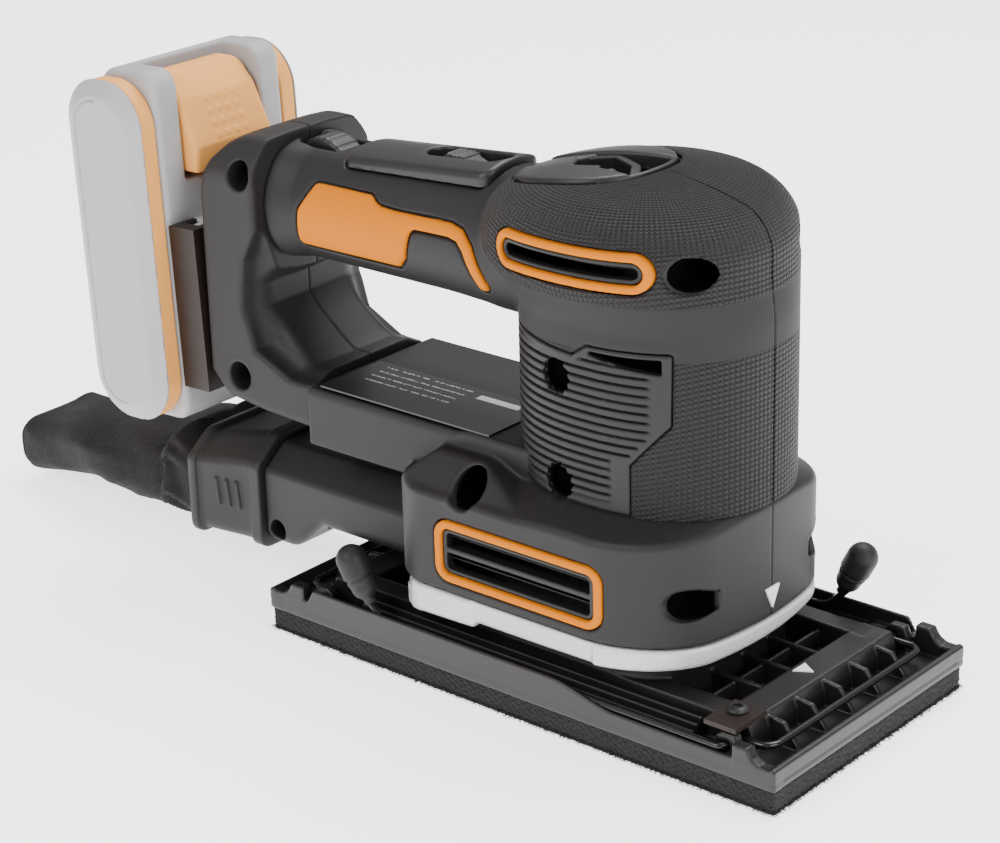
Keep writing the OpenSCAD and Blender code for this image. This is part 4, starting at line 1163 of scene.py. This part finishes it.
def build_base():
    piece("lever_band", lock_lever, (-51, -46, 20), (61, 46, 32), 0.6,
          "lever", "lever", "lever_paint", "lock_lever")
    piece("ribbed_base", base_plate, (-94, -48, 6.5), (94, 48, 28), 0.6,
          "nylon", "sanding_base", "plate_nylon", "base_plate")
    pad = piece("foam_slab", foam, (-94, -48, 0.5), (94, 48, 8), 0.6,
                "foam", "sanding_base", "pad_foam", "foam_pad")
    piece("hook_sheet_layer", hook_layer, (-94, -48, 0), (94, 48, 2), 0.45,
          "pile", "sanding_base", "hook_pile", "hook_sheet")
    add(hook_pile(), "pile", "sanding_base", "hook_pile")
    tip = mesh_field("front_tip", clamp_tip, (-66, -52, 17), (-50, -38, 38), 0.35)
    back = copied(tip, "rear_tip", HALF_TURN)
    add(tip, "rubber", "front_clamp", "soft_rubber", "front_clamp_tip")
    add(back, "rubber", "rear_clamp", "soft_rubber", "rear_clamp_tip")


def build_screws():
    """Star-head screws at the brackets and at the bottoms of the side, rear and deck recesses."""
    for k, (x, y) in enumerate(((71, -33), (-71, 33))):
        head = star_head(f"bracket_screw_{k + 1}", (x, y, FRAME_Z + 1.4), (0, 0, 1), 3.0, 1.9)
        add(head, "screw", "sanding_base", "screw_steel", *(["bracket_screws"] if k == 0 else []))
    side_y, rear_y = 26.8, 13.2
    places = [(x, z, side_y, 3.0) for x, z, _, _ in SIDE_SCREWS]
    places += [(x, z, rear_y, 2.6) for x, z in REAR_SCREWS]
    places += [(x, z, side_y, 3.2) for x, z, _, _ in CORNER_SCREWS[2:]]
    for k, (x, z, y, r) in enumerate(places):
        for side, label in ((-1, "right"), (1, "left")):
            head = star_head(f"{label}_case_screw_{k + 1}", (x, side * y, z), (0, side, 0), r, 1.5)
            first = k == 0 and side == -1
            add(head, "screw", "housing", "screw_steel", *(["housing_screws"] if first else []))


def build_battery():
    pair("battery_cheek", battery_cheek, (-191, -38, 44), (-140, -31.5, 164), 0.5,
         "pale", "battery_grey", body="battery", both="battery_cheeks")
    pair("battery_band", battery_band, (-191, -34, 44), (-140, -25.5, 164), 0.45,
         "pale_orange", "battery_orange", body="battery", both="battery_bands")
    piece("battery_core", battery_core, (-182, -29, 44), (-134, 29, 164), 0.7,
          "pale", "battery", "battery_grey", "battery_case")
    piece("release_panel", battery_button, (-168, -18, 124), (-143, 18, 163), 0.4,
          "pale_orange", "release", "battery_orange", "battery_button")


CAD_FINISH = {
    "rail": "battery_rail",
    "brass": "battery_terminals brush_holders commutator",
    "label": "rating_plate",
    "white": "front_arrow plate_arrow",
    "dark": "switch_module bearing_plate cooling_fan",
    "board": "control_board",
    "steel": "motor_can counterweight",
    "ferrite": "field_magnets",
    "bright": "upper_bearing lower_bearing motor_shaft eccentric_bearing lever_pin",
    "core": "armature",
    "rubber": "flexible_legs",
    "alloy": "carrier_plate",
    "bracket": "clamp_brackets",
    "wire": "front_clamp_wire rear_clamp_wire",
    "wrap": "battery_cells",
}


def dress_frame():
    """Gives every CAD node that stays visible its finish."""
    for finish, nodes in CAD_FINISH.items():
        for node in nodes.split():
            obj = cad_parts[node]
            obj.data.materials.clear()
            obj.data.materials.append(M[finish])


def build_camera():
    """Camera on the right-hand side, in front of and above the tool."""
    az, el, roll = (math.radians(a) for a in (41.099, 21.777, -1.598))
    back = Vector((math.sin(az) * math.cos(el), -math.cos(az) * math.cos(el), math.sin(el)))
    right = (-back).cross(Vector((0, 0, 1))).normalized()
    up = right.cross(-back)
    right, up = right * math.cos(roll) + up * math.sin(roll), up * math.cos(roll) - right * math.sin(roll)
    target = Vector((-0.03931, 0.00006, 0.06544))
    data = bpy.data.cameras.new("camera")
    data.sensor_width = 36.0
    data.lens = 97.09
    data.clip_start, data.clip_end = 0.01, 20.0
    camera = linked("camera", data)
    turn = Matrix((right, up, back)).transposed().to_4x4()
    camera.matrix_world = Matrix.Translation(target + back * 0.79494) @ turn
    bpy.context.scene.camera = camera


def area_light(name, at, size, power, look=(-0.03, 0, 0.07)):
    data = bpy.data.lights.new(name, "AREA")
    data.shape = "RECTANGLE"
    data.size, data.size_y = size
    data.energy = power
    light = linked(name, data)
    light.location = at
    light.rotation_euler = (Vector(look) - Vector(at)).to_track_quat("-Z", "Y").to_euler()


def build_studio():
    """Flat pale floor, white surroundings and three soft boxes."""
    points, faces = [], []
    steps = 24
    for i in range(steps + 1):
        for j in range(steps + 1):
            points.append((-3000 + 6000 * i / steps, -3000 + 6000 * j / steps, 0.0))
    for i in range(steps):
        for j in range(steps):
            a = i * (steps + 1) + j
            faces.append((a, a + steps + 1, a + steps + 2, a + 1))
    floor = make("floor", points, faces)
    paint = Finish("floor_paint", (0.93, 0.93, 0.93), 0.6, mottle=0.004, patch=900, grain=0.0,
                   Emission_Color=(1, 1, 1, 1), Emission_Strength=2.0)
    floor.data.materials.append(paint.done())
    world = bpy.data.worlds.new("studio")
    world.use_nodes = True
    world.node_tree.nodes["Background"].inputs["Color"].default_value = (1.0, 1.0, 1.0, 1.0)
    world.node_tree.nodes["Background"].inputs["Strength"].default_value = 0.50
    bpy.context.scene.world = world
    area_light("key", (-0.25, -1.1, 1.0), (1.0, 0.7), 14)
    area_light("front", (1.2, -0.2, 0.7), (0.8, 0.6), 10)
    area_light("top", (-0.1, 0.6, 1.3), (1.3, 0.8), 26)


build_camera()
build_studio()
build_housing()
build_crown()
build_controls()
build_dust_path()
build_base()
build_screws()
build_battery()
dress_frame()
